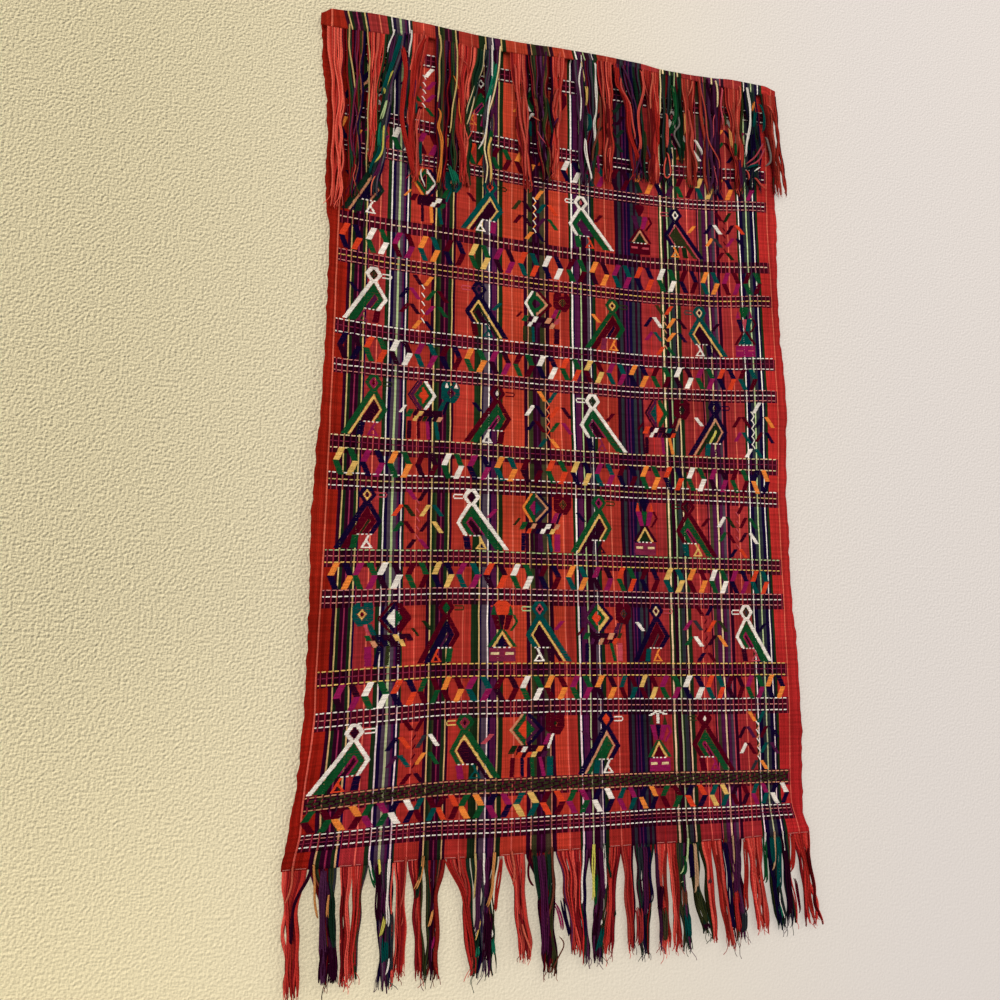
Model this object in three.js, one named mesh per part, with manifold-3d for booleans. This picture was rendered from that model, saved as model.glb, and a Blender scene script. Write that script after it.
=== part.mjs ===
// A hand-woven, brocaded wall hanging: one warp-striped cloth whose head is turned forward in a fold, so that a
// short flap hangs in front, with the loom ends of the warp left as a fringe along the flap and along the foot.
//
// Millimetres. +X is the viewer's right, +Z is up and -Y is the front. The wall is the plane Y = 0, and the
// origin is the middle of the top edge, at the wall. A "drop" is a distance down from that top edge.

import * as THREE from 'three';
import Module from 'manifold-3d';
import { mergeVertices } from 'three/addons/utils/BufferGeometryUtils.js';

const wasm = await Module();
wasm.setup();

// ---- Driving dimensions ----

const SHEET = 2; // thickness of the brocaded cloth
const FOLD_GAP = 3; // space between the flap and the cloth behind it
const WALL_GAP = 0.5; // from the back of the fold to the wall
const FELL = 835; // drop of the last weft, where the cloth ends and the lower fringe begins
const SEAT = 0.3; // gap between a fringe and the edge that it grows from

const FRINGE_HEAD = 4; // height of the strip that joins the locks of a fringe
const HEAD_THICKNESS = 2.2; // its thickness, a little more than the cloth's
const LOCK_ROOT_THICKNESS = 1.8; // of a lock, front to back, where it leaves the joining strip
const LOCK_THICKNESS = 4.4; // and where it has gathered
const LOCK_CLEARANCE = 1.6; // from a lock of the upper fringe to the cloth behind it
const LOCK_GATHERED = 0.3; // share of a lock's length by which it has its full thickness
const LOCK_ROOT = FRINGE_HEAD / 3; // how far down the joining strip a lock starts
const LOCK_SIDES = 6;
const LOCK_RINGS = 6;

// Soft waves of the hanging cloth: how far they stand out from the wall, how wide they are, where they start
// and how they lean, the last two in radians and radians per millimetre of drop.
const WAVES = [
  { depth: 2.8, width: 210, shift: 0.9, lean: 0.0028 },
  { depth: 1.6, width: 118, shift: 2.6, lean: -0.0044 },
];
const WAVE_START = 30; // they grow from nothing here
const WAVE_FULL = 420; // to their whole depth here
const FOOT_SWING = 3; // how far the foot stands off the wall, more than the head

// The left selvedge curls towards the viewer: its width, and how far its edge comes forward at each drop.
const CURL_WIDTH = 22;
const CURL = [
  { drop: 0, reach: 0 },
  { drop: 120, reach: 2 },
  { drop: 400, reach: 4.5 },
  { drop: 740, reach: 5 },
  { drop: 835, reach: 1 },
];

// The selvedges: X of the two edges of the cloth at each drop.
const SELVEDGES = [
  { drop: 0, left: -259, right: 259 },
  { drop: 60, left: -256, right: 258 },
  { drop: 108, left: -250, right: 255.5 },
  { drop: 150, left: -247.5, right: 255 },
  { drop: 175, left: -248.5, right: 256 },
  { drop: 205, left: -247.5, right: 253.5 },
  { drop: 250, left: -242, right: 252 },
  { drop: 310, left: -242, right: 252 },
  { drop: 350, left: -242, right: 255 },
  { drop: 395, left: -243, right: 256 },
  { drop: 425, left: -243.5, right: 253.5 },
  { drop: 465, left: -246.5, right: 252 },
  { drop: 490, left: -247, right: 250 },
  { drop: 525, left: -248.5, right: 251.5 },
  { drop: 560, left: -248, right: 250.5 },
  { drop: 600, left: -247, right: 251.5 },
  { drop: 645, left: -247, right: 255 },
  { drop: 700, left: -247.5, right: 255.5 },
  { drop: 735, left: -249.5, right: 256.5 },
  { drop: 763, left: -251, right: 254.5 },
  { drop: 790, left: -255, right: 253.5 },
  { drop: 812, left: -258, right: 253 },
  { drop: 835, left: -261.5, right: 259 },
];

// The head: the drop of the top of the fold and of the flap's edge, across the cloth. Both ends of the fold
// droop, where what it hangs on stops short.
const HEAD = [
  { x: -260, fold: 10, flap: 25 },
  { x: -247, fold: 3, flap: 25 },
  { x: -202, fold: 0, flap: 23 },
  { x: -155, fold: 0.5, flap: 17 },
  { x: -120, fold: 2, flap: 20 },
  { x: -95, fold: 3, flap: 20 },
  { x: -56, fold: 2.5, flap: 18 },
  { x: 0, fold: 0.5, flap: 13 },
  { x: 43, fold: 0, flap: 10 },
  { x: 85, fold: 1, flap: 10 },
  { x: 118, fold: 4, flap: 11 },
  { x: 148, fold: 4, flap: 12 },
  { x: 175, fold: 3, flap: 13 },
  { x: 204, fold: 0.5, flap: 14 },
  { x: 245, fold: 1, flap: 15 },
  { x: 261, fold: 5, flap: 15 },
];

// The locks of each fringe, from left to right. A lock leaves the edge at X "at", "wide" across, gathers to
// "waist" at X "bend" half-way down, and ends "end" across at X "tip", at the drop "drop".
const TOP_LOCKS = [
  { at: -246, wide: 22, bend: -239, waist: 13, tip: -234, end: 14, drop: 221 },
  { at: -224, wide: 21, bend: -222, waist: 13, tip: -221, end: 9, drop: 204 },
  { at: -202, wide: 21, bend: -204, waist: 10, tip: -204, end: 7, drop: 166 },
  { at: -182, wide: 19, bend: -192, waist: 8, tip: -200, end: 9, drop: 200 },
  { at: -160, wide: 22, bend: -166, waist: 9, tip: -161, end: 9, drop: 180 },
  { at: -134, wide: 17, bend: -133, waist: 11, tip: -134, end: 8, drop: 186 },
  { at: -123, wide: 10, bend: -121, waist: 7, tip: -120, end: 8, drop: 182 },
  { at: -106, wide: 24, bend: -112, waist: 13, tip: -108, end: 10, drop: 176 },
  { at: -90, wide: 8, bend: -99, waist: 5, tip: -107, end: 4, drop: 116 },
  { at: -78, wide: 16, bend: -84, waist: 10, tip: -84, end: 7, drop: 174 },
  { at: -52, wide: 20, bend: -48, waist: 12, tip: -41, end: 9, drop: 173 },
  { at: -30, wide: 24, bend: -27, waist: 14, tip: -21, end: 10, drop: 162 },
  { at: -8, wide: 18, bend: -10, waist: 10, tip: -13, end: 8, drop: 155 },
  { at: 16, wide: 12, bend: 19, waist: 7, tip: 20, end: 7, drop: 157 },
  { at: 29, wide: 14, bend: 32, waist: 12, tip: 29, end: 9, drop: 156 },
  { at: 46, wide: 18, bend: 50, waist: 9, tip: 49, end: 11, drop: 151 },
  { at: 61, wide: 9, bend: 75, waist: 7, tip: 80, end: 7, drop: 143 },
  { at: 78, wide: 20, bend: 86, waist: 9, tip: 89, end: 8, drop: 142 },
  { at: 101, wide: 22, bend: 105, waist: 9, tip: 102, end: 10, drop: 145 },
  { at: 121, wide: 12, bend: 119, waist: 8, tip: 118, end: 10, drop: 142 },
  { at: 133, wide: 12, bend: 136, waist: 9, tip: 136, end: 6, drop: 115 },
  { at: 148, wide: 18, bend: 148, waist: 9, tip: 149, end: 12, drop: 142 },
  { at: 167, wide: 15, bend: 170, waist: 11, tip: 170, end: 8, drop: 146 },
  { at: 184, wide: 14, bend: 181, waist: 7, tip: 180, end: 8, drop: 147 },
  { at: 205, wide: 24, bend: 206, waist: 17, tip: 208, end: 10, drop: 140 },
  { at: 226, wide: 16, bend: 231, waist: 13, tip: 228, end: 14, drop: 134 },
  { at: 250, wide: 20, bend: 255, waist: 15, tip: 261, end: 16, drop: 137 },
];
const FOOT_LOCKS = [
  { at: -250, wide: 22, bend: -252, waist: 13, tip: -248, end: 12, drop: 938 },
  { at: -226, wide: 25, bend: -221, waist: 11, tip: -217, end: 14, drop: 930 },
  { at: -206, wide: 11, bend: -206, waist: 7, tip: -205, end: 9, drop: 934 },
  { at: -194, wide: 15, bend: -196, waist: 6, tip: -198, end: 8, drop: 930 },
  { at: -175, wide: 23, bend: -171, waist: 12, tip: -169, end: 13, drop: 940 },
  { at: -158, wide: 12, bend: -157, waist: 8, tip: -157, end: 12, drop: 932 },
  { at: -145, wide: 14, bend: -142, waist: 7, tip: -139, end: 8, drop: 934 },
  { at: -128, wide: 20, bend: -129, waist: 9, tip: -129, end: 12, drop: 936 },
  { at: -106, wide: 22, bend: -97, waist: 8, tip: -91, end: 8, drop: 935 },
  { at: -82, wide: 27, bend: -81, waist: 15, tip: -80, end: 20, drop: 937 },
  { at: -54, wide: 20, bend: -49, waist: 9, tip: -43, end: 12, drop: 927 },
  { at: -29, wide: 28, bend: -22, waist: 14, tip: -19, end: 13, drop: 941 },
  { at: -1, wide: 25, bend: 3, waist: 14, tip: 8, end: 10, drop: 927 },
  { at: 16, wide: 10, bend: 13, waist: 5, tip: 17, end: 7, drop: 938 },
  { at: 30, wide: 20, bend: 31, waist: 12, tip: 28, end: 9, drop: 936 },
  { at: 46, wide: 13, bend: 43, waist: 8, tip: 38, end: 9, drop: 931 },
  { at: 59, wide: 14, bend: 61, waist: 8, tip: 63, end: 8, drop: 929 },
  { at: 77, wide: 22, bend: 76, waist: 13, tip: 76, end: 10, drop: 935 },
  { at: 94, wide: 13, bend: 94, waist: 9, tip: 97, end: 10, drop: 933 },
  { at: 106, wide: 11, bend: 108, waist: 8, tip: 110, end: 9, drop: 932 },
  { at: 117, wide: 11, bend: 116, waist: 7, tip: 121, end: 10, drop: 934 },
  { at: 128, wide: 12, bend: 129, waist: 8, tip: 139, end: 9, drop: 921 },
  { at: 140, wide: 14, bend: 144, waist: 8, tip: 148, end: 7, drop: 928 },
  { at: 153, wide: 12, bend: 157, waist: 8, tip: 166, end: 8, drop: 934 },
  { at: 170, wide: 22, bend: 172, waist: 13, tip: 177, end: 13, drop: 927 },
  { at: 194, wide: 20, bend: 197, waist: 12, tip: 202, end: 16, drop: 923 },
  { at: 215, wide: 20, bend: 217, waist: 10, tip: 224, end: 10, drop: 923 },
  { at: 231, wide: 12, bend: 233, waist: 7, tip: 236, end: 11, drop: 921 },
  { at: 249, wide: 22, bend: 254, waist: 11, tip: 260, end: 18, drop: 922 },
];

// How finely the cloth is divided, across it and along its flap, its fold and its fall.
const COLUMNS = 26;
const FLAP_ROWS = 2;
const FOLD_ROWS = 6;
const FALL_ROWS = 26;
const EDGE_BIAS = 0.5; // columns stand closer together towards the selvedges

// ---- Shape of the cloth ----

// Reads a column of a table at a place, with a smooth step from each row to the next.
function lookUp(table, key, value, place) {
  let i = 1;
  while (i < table.length - 1 && place > table[i][key]) i += 1;
  const before = table[i - 1];
  const after = table[i];
  return THREE.MathUtils.lerp(
    before[value],
    after[value],
    THREE.MathUtils.smoothstep(place, before[key], after[key]),
  );
}

const selvedge = (side, drop) => lookUp(SELVEDGES, 'drop', side, drop);
const foldDrop = (x) => lookUp(HEAD, 'x', 'fold', x);
const flapDrop = (x) => lookUp(HEAD, 'x', 'flap', x);

// Y of the middle of the cloth's thickness, on the length that falls behind.
function fallDepth(x, drop) {
  const growth = THREE.MathUtils.smoothstep(drop, WAVE_START, WAVE_FULL);
  let out = WALL_GAP + SHEET / 2 + FOOT_SWING * (drop / FELL) ** 2;
  for (const { depth, width, shift, lean } of WAVES) {
    const phase = (2 * Math.PI * x) / width + shift + lean * drop;
    out += growth * depth * 0.5 * (1 + Math.sin(phase));
  }
  const inward = (x - selvedge('left', drop)) / CURL_WIDTH;
  const curl = Math.max(0, 1 - inward) ** 2;
  return -(out + curl * lookUp(CURL, 'drop', 'reach', drop));
}

const foldRadius = (SHEET + FOLD_GAP) / 2; // of the middle of the cloth, round the fold
const flapY = fallDepth(0, 0) - 2 * foldRadius;

// X of a warp thread at a drop: "across" is 0 at the left selvedge and 1 at the right one.
function warpX(across, drop) {
  const share = across - (EDGE_BIAS * Math.sin(2 * Math.PI * across)) / (2 * Math.PI);
  return THREE.MathUtils.lerp(selvedge('left', drop), selvedge('right', drop), share);
}

// A point of the middle of the cloth and the way its outer face looks. "row" runs from the flap's edge, over
// the fold and down to the fell.
function clothPoint(across, row) {
  const x = warpX(across, 0);
  const crown = foldDrop(x) + SHEET / 2 + foldRadius; // drop of the centre line of the fold
  if (row < FLAP_ROWS) {
    const drop = THREE.MathUtils.lerp(flapDrop(x), crown, row / FLAP_ROWS);
    return { x, y: flapY, drop, outY: -1, outDrop: 0 };
  }
  if (row < FLAP_ROWS + FOLD_ROWS) {
    const turn = (Math.PI * (row - FLAP_ROWS)) / FOLD_ROWS;
    const outY = -Math.cos(turn);
    const outDrop = -Math.sin(turn);
    const centreY = flapY + foldRadius;
    return { x, y: centreY + foldRadius * outY, drop: crown + foldRadius * outDrop, outY, outDrop };
  }
  const drop = THREE.MathUtils.lerp(crown, FELL, (row - FLAP_ROWS - FOLD_ROWS) / FALL_ROWS);
  const fallX = warpX(across, drop);
  return { x: fallX, y: fallDepth(fallX, drop), drop, outY: 1, outDrop: 0 };
}

// Moves every vertex of a geometry to where "place" puts it.
function reshape(geometry, place) {
  const positions = geometry.attributes.position;
  for (let i = 0; i < positions.count; i += 1) {
    const p = place(positions.getX(i), positions.getY(i), positions.getZ(i));
    positions.setXYZ(i, p.x, p.y, -p.drop);
  }
  return geometry;
}

function clothGeometry() {
  const rows = FLAP_ROWS + FOLD_ROWS + FALL_ROWS;
  const block = new THREE.BoxGeometry(1, 1, 1, COLUMNS, rows, 1);
  return reshape(block, (bx, by, bz) => {
    const row = Math.round((by + 0.5) * rows);
    const p = clothPoint(bx + 0.5, row);
    return { x: p.x, y: p.y + SHEET * bz * p.outY, drop: p.drop + SHEET * bz * p.outDrop };
  });
}

// ---- Shape of the fringes ----

// The strip that joins the locks, just past the edge that they grow from.
function headGeometry(rowDrop, edgeDrop, depthAt) {
  const block = new THREE.BoxGeometry(1, 1, 1, COLUMNS, 1, 1);
  return reshape(block, (bx, by, bz) => {
    const x = warpX(bx + 0.5, rowDrop);
    return {
      x,
      y: depthAt(x) - HEAD_THICKNESS * bz,
      drop: edgeDrop(x) + SEAT + FRINGE_HEAD * (0.5 - by),
    };
  });
}

// One lock: a flattened tube that starts inside the joining strip, gathers, and opens again at its end.
function lockGeometry(row, edgeDrop, depthAt, lockDepth) {
  const tube = new THREE.CylinderGeometry(1, 1, 1, LOCK_SIDES, LOCK_RINGS);
  const { lerp, smoothstep } = THREE.MathUtils;
  return reshape(tube, (cx, cy, cz) => {
    const down = 0.5 - cy;
    const start = edgeDrop(row.at + (row.wide / 2) * cx) + SEAT + LOCK_ROOT;
    const drop = lerp(start, row.drop, down);
    const gather = smoothstep(down, 0, 0.5);
    const open = smoothstep(down, 0.5, 1);
    const middle = lerp(lerp(row.at, row.bend, gather), row.tip, open);
    const width = lerp(lerp(row.wide, row.waist, gather), row.end, open);
    const fill = smoothstep(down, 0, LOCK_GATHERED);
    const thickness = lerp(LOCK_ROOT_THICKNESS, LOCK_THICKNESS, fill);
    const rest = lockDepth(middle, width, drop) - thickness / 2;
    const y = lerp(depthAt(row.at), rest, fill);
    return { x: middle + (width / 2) * cx, y: y - (thickness / 2) * cz, drop };
  });
}

const MERGE_DISTANCE = 1e-4;

// A closed geometry as a solid that can be joined to others.
function solid(geometry) {
  geometry.deleteAttribute('normal');
  geometry.deleteAttribute('uv');
  const merged = mergeVertices(geometry, MERGE_DISTANCE);
  return new wasm.Manifold(
    new wasm.Mesh({
      numProp: 3,
      vertProperties: new Float32Array(merged.attributes.position.array),
      triVerts: new Uint32Array(merged.index.array),
    }),
  );
}

function combGeometry(locks, rowDrop, edgeDrop, depthAt, lockDepth) {
  let comb = solid(headGeometry(rowDrop, edgeDrop, depthAt));
  for (const row of locks) {
    comb = comb.add(solid(lockGeometry(row, edgeDrop, depthAt, lockDepth)));
  }
  const mesh = comb.getMesh();
  const geometry = new THREE.BufferGeometry();
  geometry.setAttribute('position', new THREE.BufferAttribute(mesh.vertProperties, mesh.numProp));
  geometry.setIndex(new THREE.BufferAttribute(mesh.triVerts, 1));
  return geometry;
}

// The upper locks hang against the cloth behind them, and the lower ones hang free below the fell.
function againstCloth(x, width, drop) {
  const places = [x - width / 2, x, x + width / 2];
  const front = Math.min(...places.map((place) => fallDepth(place, drop))) - SHEET / 2;
  return front - LOCK_CLEARANCE;
}
function belowFell(x) {
  return fallDepth(x, FELL) + LOCK_THICKNESS / 2;
}

// ---- Materials and pieces ----

const cloth = new THREE.Mesh(
  clothGeometry(),
  new THREE.MeshStandardMaterial({ color: 0xb32a20, roughness: 0.9, metalness: 0 }),
);
cloth.name = 'cloth';

const topFringe = new THREE.Mesh(
  combGeometry(TOP_LOCKS, 0, flapDrop, () => flapY, againstCloth),
  new THREE.MeshStandardMaterial({ color: 0xa8271f, roughness: 0.85, metalness: 0 }),
);
topFringe.name = 'top_fringe';

const bottomFringe = new THREE.Mesh(
  combGeometry(FOOT_LOCKS, FELL, () => FELL, (x) => fallDepth(x, FELL), belowFell),
  new THREE.MeshStandardMaterial({ color: 0x8e1f25, roughness: 0.85, metalness: 0 }),
);
bottomFringe.name = 'bottom_fringe';

const group = new THREE.Group();
group.add(cloth, topFringe, bottomFringe);

export default group;
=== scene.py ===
"""Looks of a hand-woven, brocaded wall hanging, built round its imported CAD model.

Blender's own units are metres. The tables below are in millimetres, in the hanging's own terms: +X is the
viewer's right, -Y is the front, and a "drop" is a distance down from the top edge. The cloth also has weave
coordinates: "u" names a warp thread by its X in the middle of the cloth, and "v" names a weft pick by its
drop in the middle of the cloth's width. Everything woven or brocaded is drawn in u and v, and rides on the
folds.
"""

import math
from types import SimpleNamespace

import bpy
import numpy as np
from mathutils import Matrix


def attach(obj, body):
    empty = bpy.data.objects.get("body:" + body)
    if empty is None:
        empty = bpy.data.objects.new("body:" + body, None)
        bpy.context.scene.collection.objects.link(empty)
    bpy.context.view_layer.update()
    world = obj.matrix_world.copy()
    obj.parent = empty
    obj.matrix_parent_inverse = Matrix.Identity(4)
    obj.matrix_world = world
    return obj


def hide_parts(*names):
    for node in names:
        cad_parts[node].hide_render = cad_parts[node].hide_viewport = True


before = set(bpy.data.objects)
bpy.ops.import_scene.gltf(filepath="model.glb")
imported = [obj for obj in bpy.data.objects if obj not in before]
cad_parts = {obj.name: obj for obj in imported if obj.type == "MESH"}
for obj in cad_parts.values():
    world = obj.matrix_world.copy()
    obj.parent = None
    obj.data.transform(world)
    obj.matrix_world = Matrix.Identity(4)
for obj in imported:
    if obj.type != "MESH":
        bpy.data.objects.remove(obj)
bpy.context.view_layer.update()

MM = 0.001
chance = np.random.default_rng(26)


# ---- Camera ----

CAMERA_PLACE = (-0.2375, -0.7175, -0.6045)
CAMERA_TURN = (97.86, -0.39, -13.39)  # degrees about X, Y and Z
CAMERA_LENS, CAMERA_SENSOR = 27, 36


def make_camera():
    camera = bpy.data.objects.new("camera", bpy.data.cameras.new("camera"))
    camera.data.lens = CAMERA_LENS
    camera.data.sensor_width = CAMERA_SENSOR
    camera.location = CAMERA_PLACE
    camera.rotation_euler = [math.radians(angle) for angle in CAMERA_TURN]
    bpy.context.collection.objects.link(camera)
    bpy.context.scene.camera = camera


make_camera()


# ---- Tables ----


def lines_of(text):
    """The lines of a table. One that starts with two spaces goes on from the line before it."""
    return text.replace("\n  ", " ").strip().splitlines()


def smooth_step(value, low, high):
    share = np.clip((value - low) / (high - low), 0, 1)
    return share * share * (3 - 2 * share)


class Table:
    """A line of names, and rows of numbers under them."""

    def __init__(self, text):
        names, *rows = lines_of(text)
        self.columns = dict(zip(names.split(), np.array([row.split() for row in rows], float).T))

    def rows(self):
        return [dict(zip(self.columns, row)) for row in zip(*self.columns.values())]

    def straight(self, key, value, place):
        """Reads a column on straight lines from row to row."""
        return np.interp(place, self.columns[key], self.columns[value])

    def smooth(self, key, value, place):
        """Reads a column with a smooth step from row to row."""
        keys, values = self.columns[key], self.columns[value]
        after = np.clip(np.searchsorted(keys, place), 1, len(keys) - 1)
        share = smooth_step(place, keys[after - 1], keys[after])
        return values[after - 1] + (values[after] - values[after - 1]) * share


# The CAD model's own shape, which the cloth and the fringes follow.
SHEET = 2.0  # thickness
FOLD_GAP = 3.0  # between the flap and the cloth behind it
WALL_GAP = 0.5
FELL = 835.0  # drop of the last weft pick
FOOT_SWING = 3.0  # how far the foot stands out
# The folds that run down the cloth: depth, width from one to the next, shift, and lean per drop.
WAVES = Table("""
depth width shift lean
2.8 210 0.9 0.0028
1.6 118 2.6 -0.0044
""")
WAVE_START, WAVE_FULL = 30.0, 420.0  # drops between which the folds grow
CURL_WIDTH = 22.0  # of the left edge, which curls forward, and how far it does
CURL = Table("""
drop reach
0 0
120 2
400 4.5
740 5
835 1
""")
SELVEDGES = Table("""
drop left right
0 -259 259
60 -256 258
108 -250 255.5
150 -247.5 255
175 -248.5 256
205 -247.5 253.5
250 -242 252
310 -242 252
350 -242 255
395 -243 256
425 -243.5 253.5
465 -246.5 252
490 -247 250
525 -248.5 251.5
560 -248 250.5
600 -247 251.5
645 -247 255
700 -247.5 255.5
735 -249.5 256.5
763 -251 254.5
790 -255 253.5
812 -258 253
835 -261.5 259
""")

# Drops of the fold at the head and of the flap's edge.
HEAD = Table("""
x fold flap
-260 10 25
-247 3 25
-202 0 23
-155 0.5 17
-120 2 20
-95 3 20
-56 2.5 18
0 0.5 13
43 0 10
85 1 10
118 4 11
148 4 12
175 3 13
204 0.5 14
245 1 15
261 5 15
""")

LOCK_CLEARANCE = 1.6  # between a lock and the cloth behind it
LOCK_THICKNESS = 4.4
LOCK_LEAVES, LOCK_GATHERED = 0.02, 0.3  # shares of its length between which it leaves the cloth's own depth
# The locks of the fringes: the X where each leaves the cloth and its width there, the X and width of its
# waist, the X and width of its tip, and the drop of its tip.
TOP_LOCKS = Table("""
at wide bend waist tip end drop
-244 18 -238 11 -236 13 221
-224 21 -222 13 -221 9 204
-202 21 -204 10 -204 7 166
-182 19 -192 8 -200 9 200
-160 22 -166 9 -161 9 180
-134 17 -133 11 -134 8 186
-123 10 -121 7 -120 8 182
-106 24 -112 13 -108 10 176
-90 8 -99 5 -107 4 116
-78 16 -84 10 -84 7 174
-52 20 -48 12 -41 9 173
-30 24 -27 14 -21 10 162
-8 18 -10 10 -13 8 155
16 12 19 7 20 7 157
29 14 32 12 29 9 156
46 18 50 9 49 11 151
61 9 75 7 80 7 143
78 20 86 9 89 8 142
101 22 105 9 102 10 145
121 12 119 8 118 10 142
133 12 136 9 136 6 115
148 18 148 9 149 12 142
167 15 170 11 170 8 146
184 14 181 7 180 8 147
205 24 206 17 208 10 140
226 16 231 13 228 14 134
250 20 255 15 261 16 137
""")
FOOT_LOCKS = Table("""
at wide bend waist tip end drop
-250 22 -252 13 -248 12 938
-226 25 -221 11 -217 14 930
-206 11 -206 7 -205 9 934
-194 15 -196 6 -198 8 930
-175 23 -171 12 -169 13 940
-158 12 -157 8 -157 12 932
-145 14 -142 7 -139 8 934
-128 20 -129 9 -129 12 936
-106 22 -97 8 -91 8 935
-82 27 -81 15 -80 20 937
-54 20 -49 9 -43 12 927
-29 28 -22 14 -19 13 941
-1 25 3 14 8 10 927
16 10 13 5 17 7 938
30 20 31 12 28 9 936
46 13 43 8 38 9 931
59 14 61 8 63 8 929
77 22 76 13 76 10 935
94 13 94 9 97 10 933
106 11 108 8 110 9 932
117 11 116 7 121 10 934
128 12 129 8 139 9 921
140 14 144 8 148 7 928
153 12 157 8 166 8 934
170 22 172 13 177 13 927
194 20 197 12 202 16 923
215 20 217 10 224 10 923
231 12 233 7 236 11 921
249 22 254 11 260 18 922
""")

# Where a few warp threads run, from selvedge to selvedge: X at some drops. The first and last are the
# selvedges, which SELVEDGES gives.
WARP_U = np.array([-241.5, -234.5, -193.7, -153.4, -103.8, -57, -6.3, 46.9, 96.9, 143.8, 193.8, 244.5, 256.5])
WARP = Table("""
drop edge_l a b c d e f g h i edge_r
0 -249 -201 -156 -104.6 -55.4 -2 50.3 100.6 151.9 205.6 254
16 -247 -194.5 -153.6 -103.8 -57 -6 47.2 97.2 144.5 195 249
190 -234.5 -193.7 -153.4 -103.8 -57 -6.3 46.9 96.9 143.8 193.8 244
390 -235 -193.7 -153.4 -103.8 -56 -6.3 47.5 97.2 144 194 245.5
500 -236 -194.5 -152.5 -104.5 -55 -4 49 98 144.5 193.5 241.5
700 -239 -195.6 -151 -105.5 -53.5 -1 54 98 145.5 193 243.5
800 -247 -197.7 -153.3 -106.3 -55.3 1.3 54.6 98.7 147 193.6 241
835 -252.3 -199.6 -154 -107 -56 1.5 55 99 149 194 248.7
""")

# How far each weft pick lies below where it lies in the middle of the width, at seven places across it.
BOW_U = np.array([-240, -200, -115, 0, 115, 185, 245])
BOW = Table("""
v left near_left mid_left middle mid_right near_right right
15 0 0 0 0 0 0 0
124 -14.5 -12 -5.5 0 1.5 -6 -11
162 -13.5 -11 -6.5 0 1 -4 -11.5
237 -12.5 -8.5 -7 0 -2 -5.5 -12.5
275 -10.5 -7 -4.5 0 -0.5 -4 -11
347 -9.5 -5.5 -3.5 0 0 -3.5 -9
383 -5.5 -3.5 -3 0 -1.5 -4 -8.5
456 -3 -2 -2.5 0 -0.5 -1 -3
489 0.5 1.5 -1 0 1 1 1.5
561 1.5 0.3 -1.5 0 1 1.2 1.5
596 3.5 2 -1.5 0 1.5 2 2
667 6.5 3 -1 0 1.5 2 2.5
701 9.5 6 0 0 2.5 3.5 4.5
774 8.5 4.5 -1 0 1 2.5 5
809 3.5 1 -1.5 0 -0.5 0.5 2
835 0 0 0 0 0 0 0
""")
BOW_SMOOTHING = (-24, -12, 0, 12, 24)  # the bow is averaged over these steps of u

# How far a warp thread of the flap leans to the right on its way down.
FLAP_LEAN = Table("""
x lean
-249 0
-236 5
-190 3
-170 1
-60 1
12 2.5
34 2.5
50 0
254 0
""")


# ---- From weave coordinates to space ----


def across(knots, values, place):
    """Reads values, a row of them for each knot, on straight lines between the knots."""
    after = np.clip(np.searchsorted(knots, place), 1, len(knots) - 1)
    share = (place - knots[after - 1]) / (knots[after] - knots[after - 1])
    item = np.arange(place.size)
    return values[after - 1, item] * (1 - share) + values[after, item] * share


# How the weft's turns make a selvedge uneven: height and length of each wave, and how much of the side's own
# shift it takes.
SELVEDGE_WAVES = ((0.35, 5.3, 1), (0.315, 3.1, 2), (0.35, 1.37, 0))
SELVEDGE_SHIFTS = {"left": 0.0, "right": 2.0}


def selvedge(side, drop):
    """X of a selvedge, a little uneven where the weft turns back."""
    x = SELVEDGES.smooth("drop", side, drop)
    for height, length, share in SELVEDGE_WAVES:
        x = x + height * np.sin(drop / length + share * SELVEDGE_SHIFTS[side])
    return x


def warp_x(u, drop):
    """X of warp thread u at a drop."""
    inner = [WARP.smooth("drop", name, drop) for name in list(WARP.columns)[1:]]
    lines = np.array([selvedge("left", drop), *inner, selvedge("right", drop)])
    return across(WARP_U, lines, u)


def bow(u, v):
    """How far weft pick v lies below its own drop, at warp thread u."""
    lines = np.array([BOW.straight("v", name, v) for name in list(BOW.columns)[1:]])
    inside = [across(BOW_U, lines, np.clip(u + step, BOW_U[0], BOW_U[-1])) for step in BOW_SMOOTHING]
    return np.mean(inside, axis=0)


def fall_depth(x, drop):
    """Y of the middle of the cloth, on the length that falls behind the flap."""
    out = WALL_GAP + SHEET / 2 + FOOT_SWING * (drop / FELL) ** 2
    growth = smooth_step(drop, WAVE_START, WAVE_FULL)
    for wave in WAVES.rows():
        phase = 2 * np.pi * x / wave["width"] + wave["shift"] + wave["lean"] * drop
        out = out + growth * wave["depth"] * 0.5 * (1 + np.sin(phase))
    inward = (x - SELVEDGES.smooth("drop", "left", drop)) / CURL_WIDTH
    curl = np.maximum(0, 1 - inward) ** 2
    return -(out + curl * CURL.smooth("drop", "reach", drop))


def fold_drop(x):
    return HEAD.smooth("x", "fold", x)


def flap_drop(x):
    return HEAD.smooth("x", "flap", x)


def flap_lean(x):
    return FLAP_LEAN.straight("x", "lean", x)


FOLD_RADIUS = (SHEET + FOLD_GAP) / 2
FLAP_Y = float(fall_depth(np.zeros(1), np.zeros(1))[0]) - 2 * FOLD_RADIUS
CLOTH = 1.5  # thickness of the ground cloth, under its brocade
PUCKER_SOFT, PUCKER_FINE = 0.35, 0.12
PUCKER_START, PUCKER_FULL = 20, 60  # from v to v, the pucker grows


def pucker(u, v):
    """How far the cloth lies back from where its folds put it, unevenly, as its wefts draw it in."""
    soft = np.sin(u / 17.0 + 1.3 * np.sin(v / 41.0)) * np.sin(v / 23.0 + 0.8 * np.sin(u / 37.0))
    fine = np.sin(u / 6.1 + v / 19.0) * np.sin(v / 7.7 - u / 29.0)
    return (PUCKER_SOFT * soft + PUCKER_FINE * fine) * smooth_step(v, PUCKER_START, PUCKER_FULL)


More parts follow.
